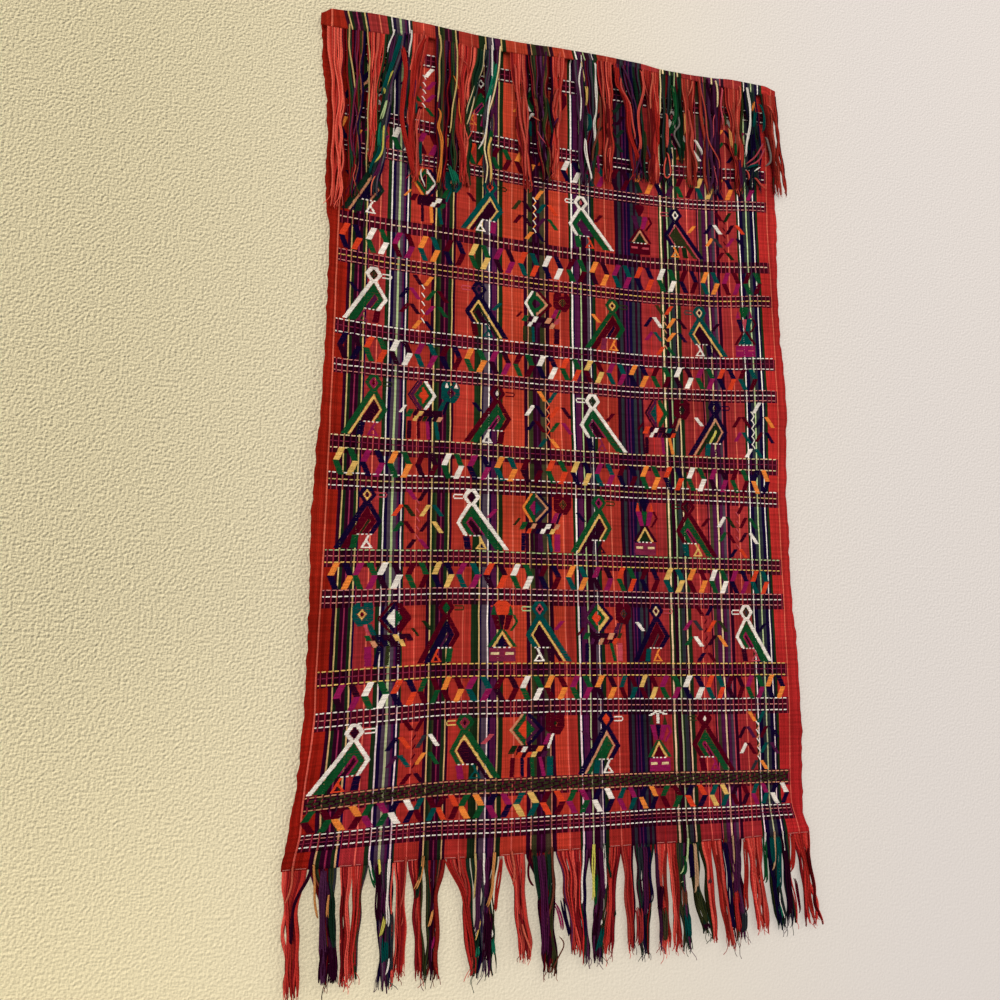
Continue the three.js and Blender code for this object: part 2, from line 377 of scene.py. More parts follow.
def on_cloth(u, v, lift=0.0):
    """Points of the front of the hanging cloth, "lift" in front of it, in metres."""
    shape = np.shape(u)
    u, v = np.ravel(u), np.ravel(v)
    drop = v + bow(u, v)
    x = warp_x(u, drop)
    y = fall_depth(x, drop) - CLOTH / 2 - np.ravel(lift) + pucker(u, v)
    return (np.stack([x, y, -drop], axis=1) * MM).reshape(*shape, 3)


# ---- Colours ----

# Red, green and blue of each colour, from 0 to 255.
# The "edge" red of the left selvedge strip is darker than the other reds: painted shade of its forward curl.
PALETTE_LEVELS = """
red 161 49 39, brick 182 62 42, crimson 152 45 46, ruby 172 42 40, edge 141 30 18, vermilion 164 38 32
flame 172 49 42, cherry 114 22 28, coral 204 82 70, garnet 108 14 20, wine 60 10 25, night 30 0 15
navy 20 8 46, plum 44 6 30, purple 76 24 62, mauve 74 34 66, green 18 76 40, jade 24 110 84, bottle 22 46 34
leaf 24 42 22, moss 48 52 28, teal 6 74 72, maroon 80 4 24, magenta 146 26 84, orange 236 138 60
scarlet 218 68 38, yellow 226 184 104, straw 200 172 112, cream 230 206 158, white 240 231 222
pink 216 104 82, rose 190 75 88, blush 214 138 130, shell 230 194 168, madder 146 44 62, mulberry 130 40 70
amber 222 150 88, lemon 214 204 96, tan 190 150 116, brown 112 58 44, grey 120 112 108, peach 206 144 108
olive 62 56 38, lilac 76 64 76, slate 44 48 54, mint 178 198 142
"""
PALETTE = {}
for colour_levels in PALETTE_LEVELS.strip().replace("\n", ", ").split(", "):
    colour_name, *levels = colour_levels.split()
    PALETTE[colour_name] = np.array(levels, float) / 255


def linear(name):
    """A colour of the palette in linear light."""
    value = PALETTE[name]
    return np.where(value <= 0.04045, value / 12.92, ((value + 0.055) / 1.055) ** 2.4)


# The warp's stripes from left to right: where a group starts, and each stripe's colour and width. The last
# stripe of a group runs to the next group.
WARP_STRIPES = """
-300.0: edge 65.5, pink 1.2, edge
-224.4: plum 3.2, straw 1.2, leaf 2.4, plum 3.4, mulberry 1.4, plum 3.2, leaf 2.6, straw 1.1, navy 1.6,
  crimson
-193.9: pink 1.1, crimson
-187: leaf 4.2, white 1.3, navy 2.6, lilac 3.3, mint 1.8, lilac 3.2, purple 1.8, navy 2.3, white 1.3,
  navy 1, leaf
-163: red 9.8, pink 1.1, red
-141.2: plum 3.8, straw 1.2, leaf 3.2, moss 1.8, plum 3.4, mulberry 1.4, plum 3, leaf 3.2, straw 1.2, plum
-116.6: red 12.8, pink 1.1, red
-96.2: leaf 6.6, straw 1.3, navy 1.8, lilac 4.4, white 1.3, navy 1.8, purple 5, navy 1.1, straw 1.3, leaf
-67.6: brick 9.2, pink 1.2, brick
-45.4: plum 3.9, peach 0.9, moss 4.6, plum 3.6, purple 1.5, plum 3, olive 4.8, peach 0.9, plum
-18.2: brick 11.2, pink 1.2, red
4: leaf 2.5, white 1.5, navy 1.7, purple 5.2, plum 1.4, mint 1.5, plum 6, lilac 2.8, white 1.2, navy 1.4,
  leaf
33: red 11.8, pink 1.2, red
57: plum 4, slate 3.2, plum 2.4, purple 1.6, navy 2, purple 1.6, navy 3.4, slate 3.4, plum 3, slate 2.4,
  plum
86.2: crimson 10.1, ruby 1.1, crimson
108: moss 2.2, cream 1.6, leaf 2.4, plum 3.8, mint 1.4, leaf 1.9, slate 3.4, plum 2, cream 1.3, leaf
132: crimson 10.4, pink 0.9, crimson
154: plum 1.8, rose 0.9, olive 4, purple 5.3, cream 1.4, plum 1.4, purple 3.4, lilac 3.8, rose 0.9, plum
181: crimson 11, pink 1.2, crimson
203.4: leaf 2.4, white 1.3, navy 4.6, slate 3.8, mint 1.4, slate 4, navy 3.9, white 1.3, navy 1.8, leaf
231: ruby 11.8, pink 1.2, ruby
"""


def stripes():
    """[(u where the stripe starts, its colour)], from left to right."""
    found = []
    for line in lines_of(WARP_STRIPES):
        place, group = line.split(": ")
        start = float(place)
        for item in group.split(", "):
            name, *width = item.split()
            found.append((start, name))
            start += float(width[0]) if width else 0
    return found


STRIPES = stripes()
STRIPE_STARTS = np.array([start for start, _ in STRIPES])
REDS = ("edge", "red", "brick", "crimson", "ruby")  # the broad stripes

# The plaid bands of coloured weft: the middle of each, the step between its lines, and their colours.
BANDS = (
    (43, 6.5, "white mulberry white"),
    (123.8, 5.3, "white mulberry white"),
    (162.5, 5.0, "blush white blush"),
    (237.5, 0, "shell"),
    (276.2, 5.5, "blush yellow blush"),
    (347.5, 6.0, "white mulberry white"),
    (383.5, 5.5, "blush white blush"),
    (456, 5.7, "cream mulberry cream"),
    (489, 5.8, "white straw white"),
    (561, 5.5, "mint blush yellow"),
    (596.5, 5.5, "blush white blush"),
    (667.5, 5.7, "yellow mulberry yellow"),
    (701.5, 5.8, "white blush white"),
    (773.8, 5.8, "peach moss peach"),
    (809, 3.7, "white blush mulberry white"),
)
BAND_MARGIN = 1.6  # how far a band's dark ground reaches past its outer lines
BAND_LEAST = 6.0  # half of the least height of a band's dark ground
PLAID_STEP = 5.3  # between the warp lines that show in a band
PLAID_LINE = 0.085  # half of the width of such a line, as a share of the step
PLAID_LEFT, PLAID_RIGHT = -233.0, 243.5


def band_lines(band):
    """[(v, colour)] of a band's lines."""
    middle, step, names = band
    names = names.split()
    return [(middle + step * (i - (len(names) - 1) / 2), name) for i, name in enumerate(names)]


# ---- Meshes ----


def make_piece(name, points, faces, material, uv=None, tint=None):
    """A smooth mesh with an optional UV and colour for each of its vertices."""
    mesh = bpy.data.meshes.new(name)
    mesh.from_pydata(points.reshape(-1, 3).tolist(), [], faces.reshape(-1, faces.shape[-1]).tolist())
    mesh.shade_smooth()
    if uv is not None:
        corners = np.empty(len(mesh.loops), np.int32)
        mesh.loops.foreach_get("vertex_index", corners)
        layer = mesh.uv_layers.new(name="weave")
        layer.data.foreach_set("uv", uv.reshape(-1, 2)[corners].astype(np.float32).ravel())
    if tint is not None:
        colours = np.ones((len(mesh.vertices), 4), np.float32)
        colours[:, :3] = tint.reshape(-1, 3)
        layer = mesh.color_attributes.new(name="tint", type="FLOAT_COLOR", domain="POINT")
        layer.data.foreach_set("color", colours.ravel())
    mesh.materials.append(material)
    piece = bpy.data.objects.new(name, mesh)
    bpy.context.collection.objects.link(piece)
    return piece


def grid_faces(rows, columns, wrap=False):
    """Quads of a grid of points, row by row. With wrap, the last column joins the first."""
    row = np.arange(rows - 1)[:, None] * columns
    column = np.arange(columns if wrap else columns - 1)[None, :]
    right = (column + 1) % columns
    quads = [row + column, row + right, row + columns + right, row + columns + column]
    return np.stack(np.broadcast_arrays(*quads), axis=-1).reshape(-1, 4)


def copies(faces, count, points_each):
    """The same faces for each of many like shapes."""
    return (faces[None] + points_each * np.arange(count)[:, None, None]).reshape(-1, faces.shape[-1])


# ---- Materials ----


class Shader:
    """A material whose nodes are made one by one."""

    def __init__(self, name, roughness, shine=0.5):
        self.material = bpy.data.materials.new(name)
        self.material.use_nodes = True
        self.nodes = self.material.node_tree.nodes
        self.links = self.material.node_tree.links
        self.surface = self.nodes["Principled BSDF"]
        self.surface.inputs["Roughness"].default_value = roughness
        self.surface.inputs["Specular IOR Level"].default_value = shine

    def add(self, kind, inputs=(), **settings):
        """A node, with numbers or sockets for some of its inputs."""
        node = self.nodes.new(kind)
        for key, value in settings.items():
            setattr(node, key, value)
        for key, value in dict(inputs).items():
            if isinstance(value, bpy.types.NodeSocket):
                self.links.new(value, node.inputs[key])
            else:
                node.inputs[key].default_value = value
        return node

    def math(self, operation, *values):
        return self.add("ShaderNodeMath", enumerate(values), operation=operation).outputs[0]

    def product(self, first, *others):
        for other in others:
            first = self.math("MULTIPLY", first, other)
        return first

    def gain(self, value, gain, base):
        return self.math("MULTIPLY_ADD", value, gain, base)

    def centred(self, value, gain, base):
        """The same for a value that lies about a half."""
        return self.gain(self.math("SUBTRACT", value, 0.5), gain, base)

    def span(self, value, low, high, at_low=0.0, at_high=1.0):
        """Goes from at_low to at_high while the value goes from low to high, and stays there beyond."""
        inputs = {"Value": value, "From Min": low, "From Max": high, "To Min": at_low, "To Max": at_high}
        return self.add("ShaderNodeMapRange", inputs).outputs["Result"]

    def mix(self, share, first, second, blend="MIX"):
        node = self.add("ShaderNodeMix", data_type="RGBA", blend_type=blend)
        for place, value in ((0, share), (6, first), (7, second)):
            if isinstance(value, bpy.types.NodeSocket):
                self.links.new(value, node.inputs[place])
            elif place == 0:
                node.inputs[place].default_value = value
            else:
                node.inputs[place].default_value = (*value, 1)
        return node.outputs[2]

    def ramp(self, value, stops, interpolation="CONSTANT"):
        """Colour by value: stops are (place from 0 to 1, colour)."""
        node = self.add("ShaderNodeValToRGB", {"Fac": value})
        ramp = node.color_ramp
        ramp.interpolation = interpolation
        while len(ramp.elements) < len(stops):
            ramp.elements.new(1)
        for element, (place, colour) in zip(ramp.elements, stops):
            element.position = place
            element.color = (*colour, 1)
        return node.outputs["Color"]

    def noise(self, vector, scale=1.0, detail=2.0, roughness=0.5):
        inputs = {"Vector": vector, "Scale": scale, "Detail": detail, "Roughness": roughness}
        return self.add("ShaderNodeTexNoise", inputs).outputs["Fac"]

    def woven(self):
        """The UV of the weave, and its two parts."""
        weave = self.add("ShaderNodeUVMap", uv_map="weave").outputs["UV"]
        apart = self.add("ShaderNodeSeparateXYZ", {"Vector": weave}).outputs
        return weave, apart["X"], apart["Y"]

    def stretched(self, vector, across_it, along_it):
        """The vector with its first two parts multiplied."""
        inputs = {"Vector": vector, "Scale": (across_it, along_it, 1.0)}
        return self.add("ShaderNodeMapping", inputs).outputs["Vector"]

    def finish(self, colour, height, distance, strength=1.0):
        self.links.new(colour, self.surface.inputs["Base Color"])
        bump = self.add("ShaderNodeBump", {"Height": height, "Distance": distance, "Strength": strength})
        self.links.new(bump.outputs["Normal"], self.surface.inputs["Normal"])
        return self.material


STOPS_IN_A_RAMP = 30
YARN = 0.95  # from one warp yarn to the next
PICK = 1.25  # from one brocade pick to the next
RIB = 2.1  # from one rib of the ground weave to the next
WANDER = 1.6  # how far the edge of a stripe wanders
# What makes the cloth's shade uneven, as gain and base: the yarns themselves, slubs along them, the beat of
# the weft, patches of wear, and painted shade in the furrows between the yarns.
YARNS, SLUBS, BEAT, WEAR, FURROW_SHADE = (0.42, 1.0), (0.7, 0.66), (1.1, 0.46), (1.3, 0.36), (0.22, 0.84)
# How fine each is, per metre across and along the warp.
WANDER_GRAIN, BEAT_GRAIN, WEAR_GRAIN = (60.0, 25.0), (16.0, 420.0), (16.0, 9.0)
SLUB_GRAIN = 0.03  # per millimetre along a yarn
PALE, RUDDY = 0.16, 0.2  # brightness of a pale line at least, and redness of a red stripe
# How far the weft of a band darkens a plain stripe, a pale line, and the warp that shows.
DARKENED, PALE_DARKENED, SHOWN_DARKENED = 0.85, 0.35, 0.6
FADED = (2.0, 9.0, 0.1, 0.0)  # from v to v, how far the turn of the head has faded towards brown
DEEPER_FROM, DEEPER_TO = 560.0, 800.0  # from v to v, the red of the foot deepens
DEEPER = (0.9, 0.7, 0.85)
CLOTH_RELIEF = (0.0005, 0.8)  # height in metres, and strength


def stripe_colour(shader, u):
    """The warp's stripes, from as many ramps as they need."""
    colour = None
    for first in range(0, len(STRIPES), STOPS_IN_A_RAMP):
        part = STRIPES[first : first + STOPS_IN_A_RAMP]
        low, high = part[0][0], part[-1][0] + 1
        stops = [((start - low) / (high - low), linear(name)) for start, name in part]
        piece = shader.ramp(shader.span(u, low, high), stops)
        past = shader.math("GREATER_THAN", u, low)
        colour = piece if colour is None else shader.mix(past, colour, piece)
    return colour


def band_mask(shader, v):
    """1 in the plaid bands and 0 between them."""
    stops = [(0, (0, 0, 0))]
    for band in BANDS:
        half = max(BAND_LEAST, band_lines(band)[-1][0] - band[0] + BAND_MARGIN)
        stops.append(((band[0] - half) / FELL, (1, 1, 1)))
        stops.append(((band[0] + half) / FELL, (0, 0, 0)))
    return shader.ramp(shader.math("DIVIDE", v, FELL), stops)


def with_bands(shader, stripe, u, v):
    """In a band the weft hides most of the warp. Single warp lines show every few millimetres."""
    step = shader.math("DIVIDE", shader.math("SUBTRACT", u, PLAID_LEFT), PLAID_STEP)
    off_middle = shader.math("SUBTRACT", shader.math("FRACT", step), 0.5)
    line = shader.math("LESS_THAN", shader.math("ABSOLUTE", off_middle), PLAID_LINE)
    brightness = shader.add("ShaderNodeRGBToBW", {"Color": stripe}).outputs[0]
    pale = shader.math("GREATER_THAN", brightness, PALE)
    redness = shader.add("ShaderNodeSeparateColor", {"Color": stripe}).outputs[0]
    ruddy = shader.math("GREATER_THAN", redness, RUDDY)
    ground = shader.mix(ruddy, shader.mix(DARKENED, stripe, linear("night")), linear("wine"))
    ground = shader.mix(pale, ground, shader.mix(PALE_DARKENED, stripe, linear("wine")))
    shown = shader.mix(ruddy, shader.mix(SHOWN_DARKENED, stripe, linear("purple")), linear("madder"))
    past_left = shader.math("GREATER_THAN", u, PLAID_LEFT)
    before_right = shader.math("LESS_THAN", u, PLAID_RIGHT)
    here = shader.product(band_mask(shader, v), shader.product(past_left, before_right))
    return shader.mix(here, stripe, shader.mix(line, ground, shown))


def cloth_material():
    """Warp-faced cotton: striped yarns side by side, fine weft ribs, and a dark plaid ground in the bands."""
    shader = Shader("brocaded_cotton", 1.0, shine=0.0)
    weave, *parts = shader.woven()
    true_u, v = [shader.product(part, 1 / MM) for part in parts]
    wander = shader.noise(shader.stretched(weave, *WANDER_GRAIN), detail=3.0)
    u = shader.centred(wander, WANDER, true_u)

    yarn = shader.math("FLOOR", shader.math("DIVIDE", u, YARN))
    yarn_shade = shader.add("ShaderNodeTexWhiteNoise", {"W": yarn}, noise_dimensions="1D").outputs["Value"]
    along = shader.add("ShaderNodeCombineXYZ", {"X": yarn, "Y": shader.product(v, SLUB_GRAIN)}).outputs[0]
    rounded = shader.math("ABSOLUTE", shader.math("SINE", shader.product(u, math.pi / YARN)))
    shade = shader.product(
        shader.centred(yarn_shade, *YARNS),
        shader.gain(shader.noise(along), *SLUBS),
        shader.gain(shader.noise(shader.stretched(weave, *BEAT_GRAIN)), *BEAT),
        shader.gain(shader.noise(shader.stretched(weave, *WEAR_GRAIN), detail=3.0), *WEAR),
        # Painted shade in the furrows between the yarns.
        shader.gain(rounded, *FURROW_SHADE),
    )
    # The ribs of one yarn stand beside the dips of the next.
    turn = shader.product(shader.math("MODULO", yarn, 2.0), math.pi)
    over = shader.math("SINE", shader.gain(v, 2 * math.pi / RIB, turn))
    height = shader.gain(shader.product(over, rounded), 0.5, rounded)

    colour = with_bands(shader, stripe_colour(shader, u), true_u, v)
    colour = shader.mix(shader.span(v, *FADED), colour, linear("olive"))
    deeper = shader.mix(1.0, colour, DEEPER, "MULTIPLY")
    colour = shader.mix(shader.span(v, DEEPER_FROM, DEEPER_TO), colour, deeper)
    return shader.finish(shader.mix(1.0, colour, shade, "MULTIPLY"), height, *CLOTH_RELIEF)


# The twist of the plies paints shade in the grooves between them; the fibres and patches make the tone
# uneven.
TWIST_SHADE, FIBRES, PATCHES = (0.1, 0.95), (0.7, 0.62), (0.5, 0.74)  # gain and base of what shades a yarn
FIBRE_GRAIN, PATCH_GRAIN = (160.0, 9.0), 70.0
YARN_RELIEF = (0.0002, 0.7)


def yarn_material(name, ply, fuzz):
    """Dyed cotton yarn: the tint of each strand, its plies and its fibres. UV runs along and around it."""
    shader = Shader(name, 1.0, shine=0.0)
    tint = shader.add("ShaderNodeVertexColor", layer_name="tint").outputs["Color"]
    weave, along, around = shader.woven()
    once_around = shader.product(around, 2 * math.pi)
    twist = shader.math("SINE", shader.gain(along, 2 * math.pi / (ply * MM), once_around))
    fibre = shader.noise(shader.stretched(weave, *FIBRE_GRAIN), fuzz, detail=3.0, roughness=0.6)
    place = shader.add("ShaderNodeNewGeometry").outputs["Position"]
    patch = shader.gain(shader.noise(place, PATCH_GRAIN), *PATCHES)
    # Painted shade in the grooves of the twist, times the yarn's uneven tone.
    shade = shader.product(shader.gain(twist, *TWIST_SHADE), shader.gain(fibre, *FIBRES), patch)
    height = shader.gain(fibre, 0.8, twist)
    return shader.finish(shader.mix(1.0, tint, shade, "MULTIPLY"), height, *YARN_RELIEF)


# ---- The ground cloth ----

CLOTH_COLUMNS = 260
CROWDING = 0.4  # how much closer together columns stand at the selvedges, which the light catches
FLAP_ROWS, FOLD_ROWS, FALL_ROWS = 7, 12, 150
FLAP_SAG, FLAP_SAG_LENGTH = 0.5, 31.0


def cloth_rows(u):
    """The picks from the flap's edge to the fell: X, Y and drop of the middle of the cloth, which way its
    outer face looks, in Y and in drop, and v."""
    head = warp_x(u, np.zeros_like(u))
    crown = fold_drop(head) + SHEET / 2 + FOLD_RADIUS
    rows = []
    for share in np.linspace(0, 1, FLAP_ROWS, endpoint=False):
        drop = flap_drop(head) + (crown - flap_drop(head)) * share
        x = head + flap_lean(head) * (1 - share)
        sag = FLAP_SAG * np.sin(u / FLAP_SAG_LENGTH) * (1 - share)
        rows.append((x, FLAP_Y + sag, drop, -1.0, 0.0, crown - np.pi * FOLD_RADIUS - (drop - crown)))
    for angle in np.linspace(0, np.pi, FOLD_ROWS, endpoint=False):
        out, up = -math.cos(angle), -math.sin(angle)
        y = FLAP_Y + FOLD_RADIUS * (1 + out) + 0 * u
        rows.append((head, y, crown + FOLD_RADIUS * up, out, up, crown - FOLD_RADIUS * (np.pi - angle)))
    for share in np.linspace(0, 1, FALL_ROWS):
        v = crown + (FELL - crown) * share
        drop = v + bow(u, v)
        x = warp_x(u, drop)
        rows.append((x, fall_depth(x, drop) + pucker(u, v), drop, 1.0, 0.0, v))
    return rows


def make_cloth(material):
    share = np.linspace(0, 1, CLOTH_COLUMNS)
    share = share - CROWDING * np.sin(2 * np.pi * share) / (2 * np.pi)
    u = WARP_U[0] + (WARP_U[-1] - WARP_U[0]) * share
    # A closed sleeve: each row runs along the outer face and back along the inner one.
    ring, ring_uv = [], []
    for x, y, drop, out_y, out_drop, v in cloth_rows(u):
        sides = []
        for half in (CLOTH / 2, -CLOTH / 2):
            sides.append(np.stack([x, y + half * out_y, -(drop + half * out_drop)], axis=1))
        weave = np.stack([u, v + 0 * u], axis=1)
        ring.append(np.concatenate([sides[0], sides[1][::-1]]))
        ring_uv.append(np.concatenate([weave, weave[::-1]]))
    last = 2 * CLOTH_COLUMNS - 1
    column = np.arange(CLOTH_COLUMNS - 1)
    first_end = np.stack([column + 1, column, last - column, last - column - 1], axis=1)
    far_end = first_end[:, ::-1] + (len(ring) - 1) * 2 * CLOTH_COLUMNS
    faces = np.concatenate([grid_faces(len(ring), 2 * CLOTH_COLUMNS, wrap=True), first_end, far_end])
    return make_piece("cloth_panel", np.array(ring) * MM, faces, material, uv=np.array(ring_uv) * MM)


# ---- Brocade: threads that float over the cloth ----

FLOAT_WIDTH, FLOAT_HEIGHT = 1.45, 0.6
FLOAT_LONGEST = 7.5
FLOAT_LEAST = 0.5
DIP, DIP_SHARE = 0.8, 0.3  # length in which a float goes down into the cloth, and its most for a short one
SUNK = -0.25  # where its ends lie, under the surface
TUCKED = 0.3  # and where it dips under one warp yarn on its way
# A float's section: places across it, in widths from its middle, and how far each rises.
FLOAT_SIDES = np.array([-0.5, -0.26, 0.26, 0.5])
FLOAT_RISE = np.array([0.0, 1.0, 1.0, 0.0])
END_JITTER, ROW_JITTER, SLANT = 0.12, 0.06, 0.08
HEIGHT_SPREAD, TINT_SPREAD = (0.85, 1.12), (0.84, 1.14)
SHADE_STEP = 0.37  # how far apart in the yarn's own grain two neighbouring picks are


class Floats:
    """Threads to be made: from u to u, at v, in a colour."""

    def __init__(self):
        self.rows = []

    def add(self, u0, u1, v, name, width=FLOAT_WIDTH, height=FLOAT_HEIGHT, phase=0.0):
        """One thread, which dips under a warp yarn wherever it would float too far."""
        if u1 - u0 < FLOAT_LEAST:
            return
        pieces = max(1, math.ceil((u1 - u0) / FLOAT_LONGEST))
        cuts = np.linspace(u0, u1, pieces + 1)
        cuts[1:-1] += phase
        for i in range(pieces):
            tucked = (i > 0, i < pieces - 1)
            self.rows.append((cuts[i], cuts[i + 1], v, width, height, *tucked, *linear(name)))

    def build(self, piece_name, material):
        data = np.array(self.rows)
        count = len(data)
        u0, u1, v, width, height, left, right = data[:, :7].T
        u0 = u0 + chance.normal(0, END_JITTER, count) * (1 - left)
        u1 = u1 + chance.normal(0, END_JITTER, count) * (1 - right)
        v = v + chance.normal(0, ROW_JITTER, count)
        height = height * chance.uniform(*HEIGHT_SPREAD, count)
        tint = data[:, 7:10] * chance.uniform(*TINT_SPREAD, (count, 1))
        dip = np.minimum(DIP, (u1 - u0) * DIP_SHARE)
        along = np.stack([u0, u0 + dip, u1 - dip, u1], axis=1)
        ends = [SUNK + (TUCKED - SUNK) * left, height, height, SUNK + (TUCKED - SUNK) * right]
        us = np.repeat(along[:, :, None], len(FLOAT_SIDES), axis=2)
        slant = chance.normal(0, SLANT, count)[:, None, None] * np.linspace(-1, 1, 4)[None, :, None]
        vs = v[:, None, None] + slant + FLOAT_SIDES * width[:, None, None]
        lifts = SUNK + (np.stack(ends, axis=1)[:, :, None] - SUNK) * FLOAT_RISE
        grain = us * MM + v[:, None, None] * SHADE_STEP
        uv = np.stack([grain, np.broadcast_to(FLOAT_SIDES + 0.5, us.shape)], axis=-1)
        tints = np.broadcast_to(tint[:, None, None, :], (*us.shape, 3))
        faces = copies(grid_faces(*us.shape[1:])[:, ::-1], count, us[0].size)
        return make_piece(piece_name, on_cloth(us, vs, lifts), faces, material, uv=uv, tint=tints)


CELL = 0.25  # width of a cell of a pick, when a motif is laid out
REACH = 46.0  # half the width that a motif may take
MOTIF_TALL = 58.5  # of a motif's own scale of heights, "t", from 0 at its top; its widths, "s", are true


class Pick:
    """One row of a motif: cells that shapes are laid over, later ones on top. One named "-" is left out."""

    def __init__(self, t):
        self.t = t
        self.cells = [None] * int(2 * REACH / CELL)

    def lay(self, low, high, name):
        first = max(0, round((low + REACH) / CELL))
        last = min(len(self.cells), round((high + REACH) / CELL))
        for i in range(first, last):
            self.cells[i] = name

    def dashes(self, start, step, wide, count, name):
        for i in range(count):
            self.lay(start + step * i, start + step * i + wide, name)

    def block(self, s0, s1, t0, t1, name):
        if t0 <= self.t < t1 and name != "-":
            self.lay(s0, s1, name)

    def shape(self, corners, name):
        """Lays the part of a convex outline, [(s, t)], that this row crosses."""
        found = []
        for (s0, t0), (s1, t1) in zip(corners, corners[1:] + corners[:1]):
            if min(t0, t1) <= self.t <= max(t0, t1) and t0 != t1:
                found.append(s0 + (s1 - s0) * (self.t - t0) / (t1 - t0))
        if found and name != "-":
            self.lay(min(found), max(found), name)

    def diamond(self, s, t, half_wide, half_tall, name):
        self.shape([(s, t - half_tall), (s + half_wide, t), (s, t + half_tall), (s - half_wide, t)], name)

    def bar(self, top, foot, wide, name):
        """A slanted bar from its top (s, t) to its foot (s, t)."""
        (s0, t0), (s1, t1) = top, foot
        half = wide / 2
        self.shape([(s0 - half, t0), (s0 + half, t0), (s1 + half, t1), (s1 - half, t1)], name)

    def runs(self):
        """[(low, high, colour)] of the cells alike."""
        found, start = [], 0
        for i in range(1, len(self.cells) + 1):
            if i == len(self.cells) or self.cells[i] != self.cells[start]:
                if self.cells[start]:
                    found.append((start * CELL - REACH, i * CELL - REACH, self.cells[start]))
                start = i
        return found


BIRD_NECK, BIRD_SHOULDER, BIRD_BELLY = 12.0, 33.0, 45.0
BIRD_HEAD = [(-4.2, 0), (4.2, 0), (8.7, 7.5), (3.2, 15.2), (-3.2, 15.2), (-8.7, 7.5)]
NECK_HALF = 2.3
BIRD_BREAST = 14.6  # how far the breast stands out in front of the neck
BELLY_BACK = 7.4  # and how far the belly draws back from there
TAIL_WIDE = 13.8
RING_LEAST = 0.9
# How much of a bird a ring of each colour takes, in front and at the back.
BREAST_WIDTHS = {"yellow": 2.4, "peach": 2.4, "rose": 1.6, "magenta": 1.5, "leaf": 2.4, "white": 4.5}
BACK_WIDTHS = {"yellow": 3.1, "peach": 3.0, "rose": 2.0, "magenta": 1.7, "leaf": 3.0}
BREAST_OTHER = 5.6
BACK_WHITE, BACK_OUTER, BACK_INNER = 5.0, 6.4, 8.2  # an outer white ring, another outer one, and an inner one
BIRD_BEAK = (  # from s to s and from t to t
    (-17.5, -8, 4.9, 6.1),
    (-18.3, -16.8, 6.1, 8.6),
    (-17.5, -8, 8.6, 9.8),
)
BELLY_DASHES = (44.2, 45.6)
FRONT_LEG, REAR_LEG = {"front": -3.0, "rear": 7.5}, {"front": 10.5, "rear": -3.5}  # by a bird's stance
LEG_TOP = 45.5


def bird(pick, parts, reach):
    """A bird that faces left: a head with a beak, a breast, a back down to the tail, two legs and a wing."""
    rings, (eye, pupil, beak), (stance, leg, foot, wing) = parts
    t = pick.t
    back = NECK_HALF + (reach - NECK_HALF) * (t - BIRD_NECK) / (MOTIF_TALL - BIRD_NECK)
    if t <= BIRD_SHOULDER:
        breast = -NECK_HALF - (BIRD_BREAST - NECK_HALF) * (t - BIRD_NECK) / (BIRD_SHOULDER - BIRD_NECK)
    elif t <= BIRD_BELLY:
        breast = -BIRD_BREAST + BELLY_BACK * (t - BIRD_SHOULDER) / (BIRD_BELLY - BIRD_SHOULDER)
    else:
        breast = back - TAIL_WIDE
    low, high = breast, back
    for i, name in enumerate(rings):
        if t >= BIRD_NECK and high - low > RING_LEAST:
            pick.lay(low, high, name)
        if t <= BIRD_BELLY:
            low += BREAST_WIDTHS.get(name, BREAST_OTHER)
        outer = BACK_WHITE if name == "white" else BACK_OUTER
        high -= BACK_WIDTHS.get(name, outer if i == 0 else BACK_INNER)
    pick.shape(BIRD_HEAD, rings[0])
    pick.diamond(0, 7.6, 4.2, 5.8, eye)
    pick.diamond(0, 7.6, 2.1, 3.0, pupil)
    for block in BIRD_BEAK:
        pick.block(*block, beak)
    pick.bar((23, 19), (15.5, 28), 5, wing)
    if BELLY_DASHES[0] <= t < BELLY_DASHES[1]:
        pick.dashes(-6, 3.9, 2.7, 4, "white")
    front, rear = FRONT_LEG[stance], REAR_LEG[stance]
    pick.bar((rear - 1.25, LEG_TOP), (rear + 0.75, MOTIF_TALL), 6.5, foot)
    pick.bar((front, LEG_TOP), (front + 6.5, MOTIF_TALL), 2.8, leg)
    pick.bar((front + 2.6, 51), (front - 2.6, MOTIF_TALL), 2.6, leg)
    pick.block(front - 3.5, front + 7.5, 57, MOTIF_TALL, leg)


HORSE_HEAD = [(20, 0.5), (34, 0.5), (37.5, 4), (37.5, 14), (33, 21), (24, 21), (18.5, 17), (18.5, 4)]
HORSE_EARS = (
    [(23.5, 1.5), (24.5, 1.5), (26.5, 6), (22, 6)],
    [(33, 1.5), (34, 1.5), (36, 6), (31.5, 6)],
)
HORSE_PATCHES = (  # from s to s and from t to t
    (-15, -9, 30, 37),
    (-8.5, -4, 36, 41.5),
    (-4, 1, 30.5, 36.5),
    (0.5, 5, 36, 41.5),
    (5, 10.2, 36, 41.5),
    (10.2, 16, 30.5, 36.5),
    (15, 20, 35.5, 41.5),
    (20, 25, 30.5, 36),
)
HORSE_LEGS = (  # s of its top, s of its foot, width
    (-12, -12.5, 4.6),
    (-3.5, -3, 3.6),
    (5.5, 6.5, 4),
    (13, 16.5, 4),
    (22.5, 22, 6.4),
)
DIAMOND_MIDDLE, DIAMOND_HALF = 15.5, 14.2
DIAMOND_TIP = 3.6  # half of its width at its top and foot
DIAMOND_GAP = 1.4  # half of the gap that its outer ring leaves in the middle
PATCH_LEAN = 0.5


